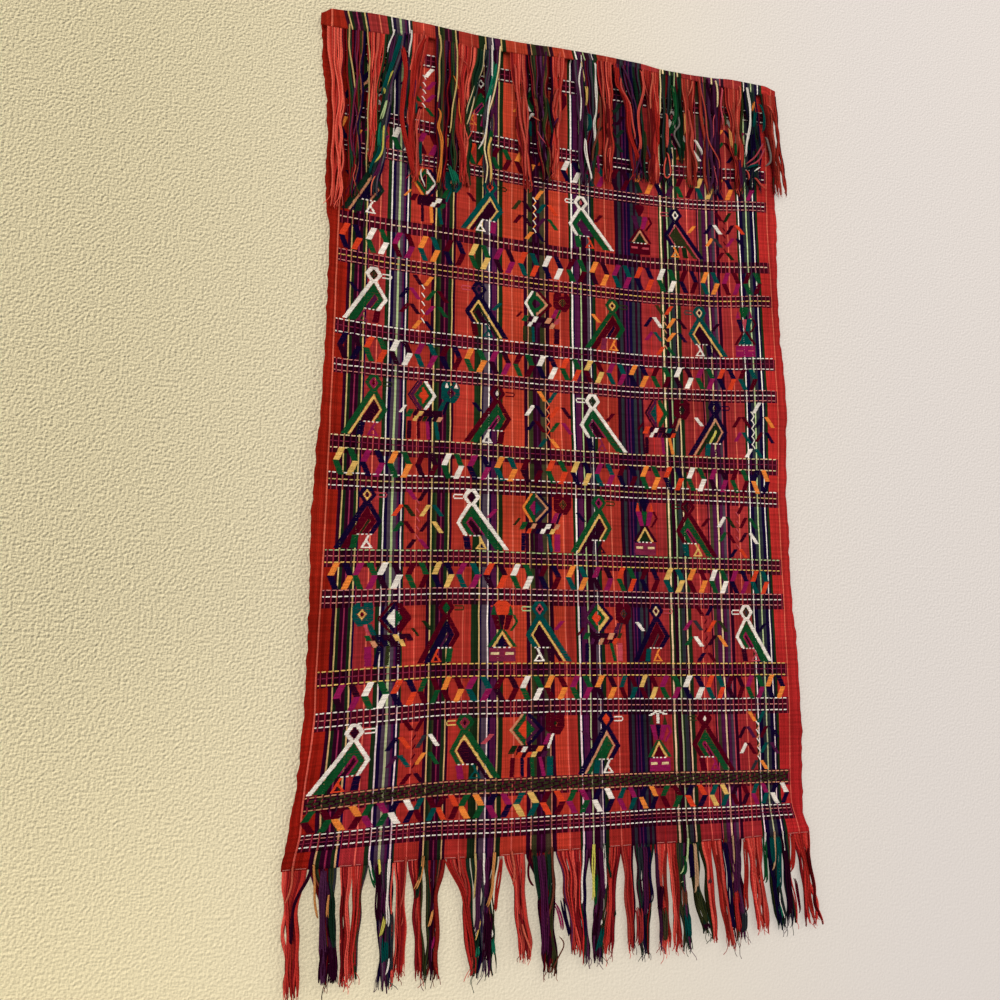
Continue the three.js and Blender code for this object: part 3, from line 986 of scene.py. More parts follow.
def horse(pick, parts):
    """A horse that faces right, with a diamond on its back."""
    (tail,), left, right, (head, ears, eye, neck, stripe), patches, legs = parts
    t = pick.t
    for hand, rings in ((-1, left), (1, right)):
        rings = list(zip(rings[::2], map(float, rings[1::2])))
        full = sum(wide for _, wide in rings)
        reach = full - (full - DIAMOND_TIP) * abs(t - DIAMOND_MIDDLE) / DIAMOND_HALF
        for i, (name, wide) in enumerate(rings):
            if reach > 0 and abs(t - DIAMOND_MIDDLE) < DIAMOND_HALF:
                start = DIAMOND_GAP if i == 0 else 0
                pick.lay(*sorted((hand * start, hand * (reach + DIAMOND_GAP))), name)
            reach -= wide
    pick.shape(HORSE_HEAD, head)
    pick.block(27.6, 30, 0, 4, None)
    for ear in HORSE_EARS:
        pick.shape(ear, ears)
    pick.diamond(28.5, 11, 4.2, 5.2, eye)
    pick.diamond(28.5, 11, 2.0, 2.6, "maroon" if head != "maroon" else "leaf")
    pick.bar((24, 20), (18, 33), 8, neck)
    pick.bar((26, 20), (21, 33), 3, stripe)
    pick.bar((-15.5, 26), (-21, 33), 3.4, tail)
    pick.block(-9, 20, 30, 41.5, "plum")
    for (low, high, top, bottom), name in zip(HORSE_PATCHES, patches):
        lean = PATCH_LEAN * ((top + bottom) / 2 - t)
        pick.block(low + lean, high + lean, top, bottom, name)
    for (top, bottom, wide), name in zip(HORSE_LEGS, legs):
        pick.bar((top, 41), (bottom, MOTIF_TALL), wide, name)


BOUGH_WIDE = 5.1
PLANT_BOUGHS = (  # from s, t to s, t
    ((-9.5, 1), (-2.5, 11.5)),
    ((8.5, 1), (1.5, 12)),
    ((-15, 16), (-22.5, 27)),
    ((-12, 16), (-4.5, 27)),
    ((11, 16), (3.5, 27.5)),
    ((15.5, 16), (24, 27.5)),
    ((-14.5, 32.5), (-21.5, 42.5)),
    ((-12, 32.5), (-4.5, 43)),
    ((11, 32), (3, 42.5)),
    ((15.5, 32), (23.5, 43)),
    ((-2.5, 49.5), (-9, 58.5)),
    ((2.5, 49.5), (9.5, 58.5)),
)


def plant(pick, parts):
    """A fork at the top, two pairs of boughs and a fork at the foot, about a stem that is made by itself."""
    for (top, foot), name in zip(PLANT_BOUGHS, parts[1]):
        pick.bar(top, foot, BOUGH_WIDE, name)


WHITE_TUFTS = (  # top, foot and width
    ((-1, 0.5), (-9, 4.5), 5),
    ((1, 0.5), (10, 4), 6),
    ((0, 2), (0, 12), 4.2),
)
SCARLET_HEAD = [(-4, 0), (4, 0), (8, 4.5), (5, 13.5), (-5, 13.5), (-8, 4.5)]
PLAIN_HEAD = [(-5, 0.5), (5, 0.5), (6, 4), (1, 14), (-1, 14), (-6, 4)]
GABLE_FOOT, BASE_TOP = 44.5, 46.0
FIGURE_PARTS = "top flank left right heart side gable fill outer base bar"
FIGURE_SHAPES = (  # one over the other
    ("flank", [(-8, 5), (-7, 5), (-5, 13.5), (-10.5, 13.5)]),
    ("flank", [(7, 5), (8, 5), (10.5, 13.5), (5, 13.5)]),
    ("left", [(-10, 14), (-3, 14), (-1, 28.5), (-5.5, 28.5)]),
    ("right", [(3, 14), (10, 14), (5.5, 28.5), (1, 28.5)]),
    ("heart", [(-3.2, 14), (3.2, 14), (2.2, 21), (0.5, 28), (-0.5, 28), (-2.2, 21)]),
    ("side", [(8.9, 14), (12.1, 14), (15.1, 20.5), (11.9, 20.5)]),
    ("side", [(11.9, 20.5), (15.1, 20.5), (9.1, 29.5), (5.9, 29.5)]),
    ("outer", [(-3, 28.5), (3, 28.5), (13.8, 44.5), (-13.8, 44.5)]),
    ("gable", [(-0.6, 29.8), (0.6, 29.8), (9.6, 44.5), (-9.6, 44.5)]),
    ("fill", [(-0.2, 33.6), (0.2, 33.6), (6.6, 44.5), (-6.6, 44.5)]),
)


def figure(pick, parts):
    """A figure like a flowering pot: a head, two petals about a heart, a gable and a base."""
    names = dict(zip(FIGURE_PARTS.split(), parts[0] + parts[1]))
    if names["top"] == "white":
        for top, foot, wide in WHITE_TUFTS:
            pick.bar(top, foot, wide, "white")
    elif names["top"] == "scarlet":
        pick.shape(SCARLET_HEAD, "scarlet")
        pick.bar((0, 4.6), (0, 6.6), 21, "scarlet")
    else:
        pick.shape(PLAIN_HEAD, names["top"])
    for name, corners in FIGURE_SHAPES:
        pick.shape(corners, names[name])
    if GABLE_FOOT < pick.t < BASE_TOP:
        pick.dashes(-8, 4.3, 2.8, 4, "white")
    pick.block(-12, 12, BASE_TOP, MOTIF_TALL, names["base"])
    pick.block(-10.5, -2.6, 50.2, 52, names["bar"])
    pick.block(2.6, 10.5, 50.2, 52, names["bar"])


MOTIFS = {"bird": bird, "horse": horse, "plant": plant, "figure": figure}
# The rows of motifs: top and foot of a row, then its motifs: kind, u, which way it faces (1 right, -1 left)
# and, for a bird, how far its tail reaches. After that come the colours of its parts. A "-" leaves one out.
MOTIF_ROWS = """
row 52 110
bird -200 1 31 / navy peach leaf purple / yellow plum rose / front white maroon orange
plant -152 1 / white rose / - white navy teal magenta navy maroon green magenta teal maroon green
bird -92 1 33 / maroon green magenta navy / white plum maroon / rear orange magenta navy
horse -34 1 / orange / white 3.4 green 5 plum 4 / maroon 4 peach 3 green 8 / maroon - moss magenta green /
  green white white purple peach peach rose - / leaf teal moss - plum
plant 58 1 / bottle plum / - bottle plum bottle plum maroon bottle plum bottle plum maroon bottle
bird 128 -1 36 / white green magenta plum / plum rose white / rear orange navy maroon
plant 205 1 / white peach / white teal orange navy magenta white green maroon plum teal navy orange
row 171 229
bird -204 1 28 / bottle peach navy plum / moss plum crimson / front white bottle navy
horse -148 1 / orange / orange 3 green 5 plum 5 / navy 4 white 3 green 7 / teal - peach green teal / maroon
  - - plum white white green - / - plum orange teal -
bird -81 1 31 / teal yellow plum purple / scarlet plum leaf / rear white magenta maroon
plant -33 1 / white orange / - orange moss plum teal scarlet maroon plum purple green orange navy
bird 18.5 -1 38 / white green purple maroon / plum rose white / rear scarlet green maroon
figure 86.5 1 / maroon - purple magenta slate / maroon peach leaf maroon maroon rose
bird 129 -1 34 / navy rose moss moss / white navy rose / front orange leaf orange
plant 188 1 / maroon crimson / maroon leaf navy white plum scarlet orange slate magenta navy maroon leaf
row 284 340
bird -198 1 29 / white green purple plum / leaf moss white / rear mulberry maroon navy
plant -148.5 1 / white scarlet / plum orange navy magenta green maroon maroon plum magenta green orange navy
bird -92 -1 31 / navy yellow leaf plum / purple navy rose / rear teal maroon teal
horse -32 1 / maroon / white 3.4 green 5 plum 3 / maroon 4.5 peach 3.4 green 5 purple 3.6 / maroon - moss
  magenta green / green white white purple - peach peach rose / moss teal moss - plum
bird 52.5 1 32 / green maroon navy navy / yellow plum moss / front orange mulberry orange
plant 113 1 / peach moss / moss scarlet navy white orange plum magenta teal orange navy scarlet green
bird 154 -1 33 / teal yellow plum purple / cream plum teal / front white navy plum
figure 208 1 / green magenta navy teal rose / maroon teal teal maroon magenta rose
row 390.5 449
bird -195 1 29 / green yellow plum navy / magenta maroon moss / front magenta navy -
horse -147.5 1 / white / navy 2.2 purple 4 green 5 scarlet 2 / white 4 green 4 scarlet 5 / teal white purple
  teal navy / green yellow yellow leaf navy plum peach - / plum maroon magenta teal -
bird -73 1 33 / maroon green magenta plum / plum white maroon / rear white maroon navy
plant -20 1 / peach scarlet / orange teal white navy scarlet plum navy maroon green magenta teal orange
bird 28 -1 39 / white green magenta plum / moss leaf white / rear mulberry navy maroon
horse 101 1 / maroon / plum 3 purple 3.5 teal 6 / green 5.5 scarlet 6 / maroon - plum maroon peach / scarlet
  white white purple plum teal scarlet - / plum - magenta orange -
bird 168 1 34 / navy peach leaf leaf lemon / navy plum navy / front purple teal white
plant 213 1 / white white / - white maroon maroon navy orange magenta teal maroon navy white teal
row 495.5 553.5
bird -197 1 29 / navy maroon leaf scarlet / yellow plum rose / front white green -
plant -150 1 / rose crimson / magenta plum scarlet leaf yellow teal green maroon plum yellow plum magenta
bird -97 -1 36 / white green magenta plum / plum plum white / rear yellow navy magenta
horse -35 1 / leaf / orange 3 green 5 magenta 4.5 / navy 4 peach 3 slate 4 teal 5.5 / maroon - moss magenta
  navy / green scarlet peach navy white white yellow peach / navy plum purple teal magenta
bird 32 1 32 / green yellow plum purple / magenta plum moss / front plum plum navy
figure 84 1 / navy scarlet magenta magenta green / maroon yellow leaf plum mulberry cream
bird 132 -1 33 / maroon green magenta navy / plum maroon maroon / rear yellow teal maroon
plant 190 1 / rose crimson / - maroon white leaf maroon green green maroon plum white navy scarlet
row 603 660
horse -169 -1 / leaf / maroon 8.5 green 5 / maroon 4 navy 4 white 6.5 / teal - yellow teal rose / plum
  yellow yellow plum navy navy peach green / - plum moss navy magenta
bird -120 1 29 / maroon navy purple purple / green green moss / rear scarlet green leaf
figure -68 1 / scarlet green maroon maroon plum / green yellow navy green mulberry cream
bird -32 -1 32 / teal yellow plum purple / rose plum mint / front white plum magenta
horse 27 1 / maroon / purple 4.5 green 4.5 scarlet 5 / navy 4.5 yellow 4.5 green 4 scarlet 2.5 / maroon -
  slate purple slate / green purple plum peach maroon peach scarlet moss / navy - - green rose
bird 94 1 29 / navy maroon slate plum / cream plum rose / front orange teal white
plant 147 1 / crimson maroon / maroon navy magenta slate scarlet moss green white plum orange navy maroon
bird 196.5 -1 30 / white green magenta plum / moss slate white / rear rose plum navy
row 708 766.5
bird -200 1 33 / white green magenta plum / plum plum white / rear scarlet navy -
plant -150 1 / crimson maroon / maroon maroon navy scarlet slate white purple teal orange green maroon plum
bird -100 -1 32 / green yellow plum purple / mulberry plum yellow / rear teal magenta rose
horse -46 1 / - / peach 3 green 5.5 scarlet 6 / navy 5 purple 4.5 green 7 / maroon - maroon magenta white /
  leaf scarlet white scarlet yellow orange purple - / maroon navy green magenta teal
bird 32.5 1 30 / navy peach green plum / scarlet scarlet white / front white teal purple
figure 93 1 / white moss magenta magenta navy / magenta yellow maroon green magenta cream
bird 142 -1 33 / maroon green magenta plum / maroon white moss / rear magenta maroon -
plant 205 1 / white peach / orange teal plum purple maroon navy white maroon teal purple slate orange
"""
DIP_SHIFT = 1.4  # of a pick's dips, to the right in every other pick and to the left between


def make_motifs(material):
    animals, plants, stems = Floats(), Floats(), []
    for line in lines_of(MOTIF_ROWS):
        (kind, *numbers), *parts = [part.split() for part in line.split(" / ")]
        if kind == "row":
            top, foot = map(float, numbers)
            picks = int((foot - top) / PICK)
            continue
        u, facing, *reach = map(float, numbers)
        if kind == "plant":
            stems.append((u, top, foot, parts[0]))
        side = -facing if kind == "bird" else facing
        thread = plants if kind == "plant" else animals
        for i in range(picks + 1):
            pick = Pick((i + 0.5) * MOTIF_TALL / (picks + 1))
            MOTIFS[kind](pick, parts, *reach)
            for low, high, name in pick.runs():
                ends = sorted((u + side * low, u + side * high))
                thread.add(*ends, top + i * PICK, name, phase=DIP_SHIFT if i % 2 else -DIP_SHIFT)
    return [
        animals.build("brocade_animals", material),
        plants.build("brocade_plants", material),
        make_stems(stems, material),
    ]


STEM_TOP, STEM_FOOT = 10.5, 49.5  # of a motif's scale of heights
STEM_SWING, STEM_JITTER = 1.7, 0.2
STEM_STEP = 4.3  # height of each slanted stitch
STEM_OVERLAP = 0.06  # of a stitch and the next, as a share of that height
STEM_SUNK, STEM_RISE, STEM_RADIUS = -0.1, 0.7, 0.62


def make_stems(stems, material):
    """Zigzags of slanted stitches, one colour each way."""
    share = np.linspace(0, 1, 7)
    paths, tints = [], []
    for u, top, foot, colours in stems:
        start = top + (foot - top) * STEM_TOP / MOTIF_TALL
        count = round((foot - top) * (STEM_FOOT - STEM_TOP) / MOTIF_TALL / STEM_STEP)
        for i in range(count):
            hand = 1 if i % 2 else -1
            us = u + hand * STEM_SWING * (1 - 2 * share) + chance.normal(0, STEM_JITTER)
            vs = start + STEM_STEP * (i - STEM_OVERLAP + (1 + 2 * STEM_OVERLAP) * share)
            paths.append(on_cloth(us, vs, STEM_SUNK + STEM_RISE * np.sin(np.pi * share)) / MM)
            tints.append(linear(colours[i % 2]))
    radii = np.full((len(paths), len(share)), STEM_RADIUS)
    return strands("brocade_stems", [(np.array(paths), np.array(tints), radii)], material)


# Rows of linked rings, each of four slanted bars in two colours: top and foot of the row, the side that the
# first colour leans to, where the middle of a few of its rings lies, and the colours of each ring.
RING_ROWS = """
132.5 156 1 / 0 -224, 3 -147, 7 -43.6, 9 7.8, 12 92, 16 190, 17 216 / orange/navy magenta/green white/green
  magenta/maroon yellow/navy scarlet/green maroon/green orange/maroon scarlet/plum white/navy magenta/teal
  maroon/plum orange/bottle purple/navy maroon/green yellow/teal orange/navy magenta/plum
244.5 268.5 1 / 0 -221.5, 17 220.5 / scarlet/navy white/green magenta/maroon orange/teal maroon/navy
  yellow/green magenta/plum scarlet/teal white/navy maroon/green orange/plum magenta/teal scarlet/navy
  white/green maroon/navy orange/teal magenta/maroon maroon/green
354 377 1 / 0 -219, 8 -20.5, 14 132.5, 17 209 / navy/plum scarlet/green white/plum magenta/teal maroon/navy
  orange/green magenta/plum maroon/green white/navy scarlet/green yellow/maroon magenta/teal orange/navy
  maroon/green white/plum magenta/green scarlet/navy maroon/teal
462 484.5 1 / 0 -218, 2 -168, 17 221 / yellow/green magenta/navy orange/green maroon/plum white/green
  magenta/navy orange/teal maroon/plum scarlet/green yellow/navy magenta/teal maroon/navy orange/green
  scarlet/navy white/green magenta/plum maroon/green navy/orange
567.5 590 1 / 0 -218, 2 -174.8, 4 -124, 7 -49, 9 6.8, 13 114.8, 17 215 / orange/navy magenta/green
  white/plum maroon/green yellow/navy magenta/teal scarlet/plum white/green maroon/navy orange/teal
  magenta/plum scarlet/green maroon/navy yellow/teal orange/maroon white/green magenta/navy scarlet/teal
674 696 1 / 0 -208, 8 -16.6, 13 107.8, 18 228.3 / magenta/plum white/green scarlet/navy green/maroon
  orange/maroon magenta/teal maroon/plum white/green orange/maroon magenta/green orange/plum teal/maroon
  yellow/maroon magenta/green white/navy scarlet/teal maroon/plum magenta/green orange/navy
781 801 -1 / 0 -223, 6 -93, 10 2.4, 15 130, 19 229.5 / maroon/green orange/maroon magenta/green white/navy
  maroon/teal scarlet/maroon orange/green magenta/navy yellow/teal scarlet/maroon magenta/green white/navy
  magenta/teal orange/navy maroon/green scarlet/navy yellow/teal maroon/plum magenta/teal white/navy
"""
BAR_WIDE = 6.2
BAR_START, BAR_LEAN = 3.5, 5.4  # how far out a bar is at the ring's top or foot, and how much more halfway


def make_rings(material):
    thread = Floats()
    for line in lines_of(RING_ROWS):
        row, places, colours = line.split(" / ")
        top, foot, side = map(float, row.split())
        picks = int((foot - top) / PICK)
        known = np.array([place.split() for place in places.split(", ")], float).T
        for k, pair in enumerate(colours.split()):
            lit, dark = pair.split("/")
            u = np.interp(k, *known)
            for i in range(picks + 1):
                share = (i + 0.5) / (picks + 1)
                upper = share < 0.5
                down = share * 2 if upper else share * 2 - 1
                # The upper pair spreads on the way down, and the lower pair closes.
                spread = BAR_START + BAR_LEAN * (down if upper else 1 - down)
                for hand in (-1, 1):
                    first_colour = (hand == -1) == upper
                    name = lit if first_colour == (side == 1) else dark
                    middle = u + hand * spread
                    thread.add(middle - BAR_WIDE / 2, middle + BAR_WIDE / 2, top + i * PICK, name)
    return thread.build("brocade_rings", material)


DASH_GAP = 0.55  # at each end of a dash
DASH_SIZE, QUIET_SIZE = (1.3, 0.55), (1.0, 0.45)  # width and height
HERRINGBONE_PICKS, HERRINGBONE_LEAN, HERRINGBONE_HEIGHT = 8, 1.2, 0.35
STITCH_LEFT, STITCH_RIGHT = 2.4, 2.2  # how far a stitch of the herringbone reaches
HEM_PICK = 833.8
HEM_GAP, HEM_SIZE = 0.6, (0.55, 0.2)


def add_herringbone(thread, v, steps):
    """A band of close short stitches, which point to the left."""
    for i in range(HERRINGBONE_PICKS):
        off_middle = i - (HERRINGBONE_PICKS - 1) / 2
        for k in range(steps):
            u = PLAID_LEFT + (k + 0.5) * PLAID_STEP + HERRINGBONE_LEAN * abs(off_middle)
            name = "moss" if (i + k) % 3 else "plum"
            ends = (u - STITCH_LEFT, u + STITCH_RIGHT)
            thread.add(*ends, v + off_middle * PICK, name, height=HERRINGBONE_HEIGHT)


def make_band_lines(material):
    """The bands' weft lines: dashes between the warp lines, and one band of close herringbone."""
    thread = Floats()
    steps = int((PLAID_RIGHT - PLAID_LEFT) / PLAID_STEP)
    for v, name in [line for band in BANDS for line in band_lines(band)]:
        if name == "moss":
            add_herringbone(thread, v, steps)
            continue
        width, height = QUIET_SIZE if name in ("mulberry", "blush") else DASH_SIZE
        for k in range(-1, steps):
            u = PLAID_LEFT + (k + 0.5) * PLAID_STEP
            ends = (max(PLAID_LEFT, u + DASH_GAP), min(PLAID_RIGHT, u + PLAID_STEP - DASH_GAP))
            thread.add(*ends, v, name, width, height)
    # A last thin pick shows over the red stripes only.
    for (start, name), (end, _) in zip(STRIPES, STRIPES[1:] + [(WARP_U[-1], "")]):
        if name in REDS:
            thread.add(max(start, WARP_U[0]) + HEM_GAP, end - HEM_GAP, HEM_PICK, "blush", *HEM_SIZE)
    return thread.build("weft_lines", material)


# ---- Fringes ----

STRAND = 0.85  # half of a strand's width
STRAND_FLAT = 0.72  # how deep it is for its width
STRAND_SIDES = 5
STRAND_PITCH = 1.2  # from one strand to the next where they leave the cloth
STRAND_ROOT = 1.5  # how far inside the cloth's edge it starts
STRAND_LENGTHS = 1.8  # how unlike their lengths are
STRAND_TINTS, STRAND_WIDTHS = (0.65, 1.2), (0.85, 1.15)
STRANDS_TOGETHER = 3  # that wave together
TAPER, TIP_RADIUS = 9, 0.35  # how short a strand's taper is, and what is left of its radius at the tip
YARN_RUN = 60.0  # length of yarn from which the start of each strand's grain is drawn
CORE = 1.9  # half the width of the darker strands inside a lock, which close the gaps between the outer ones
# The inner strands lie deeper and are darkened: painted shade inside a lock.
CORE_DEPTH, CORE_SHADE = 0.7, 0.5
THREAD = 0.8  # half the width of one thread of a loose strand
FRIZZ = 0.3  # half the width of the thin threads at a lock's tip
FRIZZ_FEWEST, FRIZZ_MOST = 3, 6  # such threads
FRIZZ_POINTS, FRIZZ_TINT = 10, 1.25
FRIZZ_BACK = 5  # how many points before the tip of a strand they start
FRIZZ_REACHES, FRIZZ_BEND, FRIZZ_SIDEWAYS = (0.2, 1), 3.5, np.array([1, 0.2, 0])
FRIZZ_CURLS, FRIZZ_CURLY = (1, 2.6), 8  # how far out they curl, and how often, in radians
# A lock's strands: how far they cross, in halves of its width, how far out they go at most, the share of the
# width that their middles take, and how long their waves are.
CROSSING, CROSSED_MOST, LOCK_FILL = 0.18, 1.1, 0.94
WAVE_LENGTHS = (42, 80)
WAVY_AT_ROOT, WAVIER_AT_TIP = 0.4, 0.8
RIPPLE, RIPPLE_LENGTH = 0.35, 5.0  # of each strand by itself
LAYERS, LAYER_JITTER, LAYER_WAVE, LAYER_LENGTH = 0.7, 0.25, 0.25, 11.0  # how they share the lock's depth
TONE_STEPS = 1200  # across the cloth, when a strand's stripe is looked up
# Among the red strands, coral ones paint highlights and cherry ones paint shade.
RED_TONES = "flame flame flame ruby coral coral cherry cherry"
# The colours of the strands that go on from a stripe of each colour.
FRINGE_TONES = {
    **dict.fromkeys(REDS, RED_TONES),
    "pink": "vermilion coral",
    "leaf": "bottle bottle moss",
    "moss": "moss bottle olive",
    "olive": "moss brown",
    "plum": "plum plum mauve garnet",
    "mulberry": "mauve plum",
    "rose": "mauve plum",
    "purple": "purple mauve plum",
    "lilac": "lilac mauve slate",
    "navy": "navy navy slate",
    "slate": "slate bottle",
    "white": "lilac mauve",
    "cream": "slate moss",
    "mint": "slate bottle",
    "straw": "moss brown",
    "peach": "moss brown",
}

# Single strands that lie over the locks: colour, width, and then X and drop at a few places along each.
# The coral strands among them paint highlights along the red locks.
FLAP_STRAYS = """
straw 1.6 -229 20 -230 42 -226 71 -221 97 | mulberry 1.6 -220 18 -222 60 -221 81 -226 139 -222 167
coral 1 -223 167 -217 178 -223 184 -217 201 | straw 1.3 -212 22 -209 60 -209 122 -209 183
white 1.6 -187 20 -192 37 -192 48 | mauve 4.5 -185 18 -187 37 -189 60
teal 4.5 -178 23 -180 34 -189 65 -195 93 | lemon 3 -184 60 -192 79 -195 95
mint 3 -190 93 -193 108 -197 124 | jade 4.5 -196 118 -197 139 -196 154
lemon 2 -192 120 -194 156 -198 165 -205 171 | teal 3.5 -196 143 -196 156 -206 174 -205 181
purple 3.5 -195 162 -198 179 -204 188 | pink 1.2 -198 179 -204 189 -203 206
white 1.8 -171 20 -170 37 -169 48 | vermilion 5 -176 30 -172 65 -176 110 -171 139 -160 179
coral 1.6 -156 20 -162 34 -163 60 | vermilion 5 -152 17 -161 42 -166 88 -166 133 -162 167
purple 3 -162 65 -163 82 -166 97 | teal 2.5 -160 91 -161 110 | coral 3 -156 97 -160 122 -158 156 -159 181
teal 3 -155 133 -156 156 -154 165 | white 1.2 -153 162 -156 174 -148 188 | straw 1.8 -139 18 -137 31 -138 93
orange 3.2 -138 93 -134 106 -139 117 -133 131 -134 156 -137 183 | straw 1.5 -120 20 -118 54 -122 88 -126 127
jade 3.5 -126 156 -119 181 | jade 3.5 -122 159 -115 180 | coral 1 -119 31 -114 38 -105 44
orange 1 -124 54 -116 74 -116 103 -113 112 | cream 1.4 -89 19 -92 45 -108 91 -108 103
cream 1.4 -99 72 -100 83 -109 115 | bottle 4 -92 26 -94 45 -106 88 -108 103
coral 1.2 -99 88 -101 115 -109 135 | white 1.8 -80 18 -81 55 -85 93 -89 127 -97 139
jade 5.5 -77 30 -80 55 -86 83 | cream 1.6 -69 17 -76 55 -86 101 -89 139 -85 151 -87 175
purple 3 -74 77 -84 101 | green 4 -80 109 -83 122 -85 136 | yellow 2.4 -81 117 -85 136 -82 151 -82 174
coral 2.2 -57 26 -51 93 -45 122 -44 160 | coral 2.2 -48 45 -42 83 -43 130 | pink 1.2 -39 86 -32 95 -26 91
brown 3 -34 64 -31 88 | purple 2 -26 20 -26 83 | bottle 2 -22 60 -14 109 | rose 1 -32 101 -27 115 -20 120
coral 2.2 -2 13 -6 24 -9 40 | coral 2.2 -5 49 -11 58 -14 79 | purple 2 -6 83 -14 99
white 1.8 15 12 16 35 18 51 18 93 | mauve 3 18 12 20 64 18 103 | straw 1.6 22 12 23 40
yellow 3 24 40 25 57 24 70 | teal 5 27 72 28 88 26 98 | white 2.6 35 12 36 74 32 86 34 98 32 112
brown 2.2 39 45 41 83 31 117 31 136 | magenta 3 37 117 36 132 38 146 | white 2.8 23 101 22 117 28 146 30 156
vermilion 5 61 10 60 37 72 48 75 97 81 112 86 127 | coral 2 66 21 64 37 75 55 81 98
mauve 2 66 14 78 35 79 51 | coral 3.2 90 12 93 33 85 64 85 88 88 98 85 117 | moss 3.5 92 79 93 93 91 122
mauve 2 88 98 85 122 77 143 | mauve 2 93 98 100 121 | pink 2 102 11 104 16 99 45 100 64
vermilion 4 104 40 108 83 108 103 | cream 1.6 116 12 112 40 111 64 | coral 3.5 119 55 119 103
coral 1.6 119 103 123 136 115 140 114 122 119 108 | mint 1.4 127 12 127 35 130 51
green 4 127 21 131 57 124 80 | grey 2 136 54 132 62 137 70 126 83 136 102 | amber 1.5 142 51 141 83
coral 2.4 145 45 150 79 146 93 154 112 153 130 | pink 1.6 152 12 152 21 146 35
white 3 151 83 157 93 164 104 | coral 1.6 159 13 166 40 170 88 184 110 181 125
rose 1 176 109 174 116 180 141 | cream 2 177 13 181 19 183 46 | rose 1.2 183 46 177 54 176 83
plum 3 174 14 176 35 173 55 | rose 2 190 14 187 40 189 64 | moss 4 191 43 193 64
pink 1.6 206 14 209 20 207 40 | amber 3.5 196 62 198 83 201 93 | green 3.5 203 79 204 101
purple 3 208 98 209 122 208 141 | slate 5 212 103 213 136 | white 3 221 15 224 29 224 57 217 83 217 98
orange 2.5 231 23 227 40 | teal 4 232 35 227 64 | navy 4 227 64 227 93 | teal 3 237 24 242 40 241 64
grey 2.4 244 64 249 93 247 103 241 104 | rose 2 242 72 229 96 214 108 | rose 2 243 79 232 101 217 110
teal 5 235 105 226 106 217 111 | white 1.4 237 105 224 115 | coral 2 215 110 220 118 221 126
coral 2.4 224 119 237 133 247 134 | coral 2.4 246 24 257 38
"""
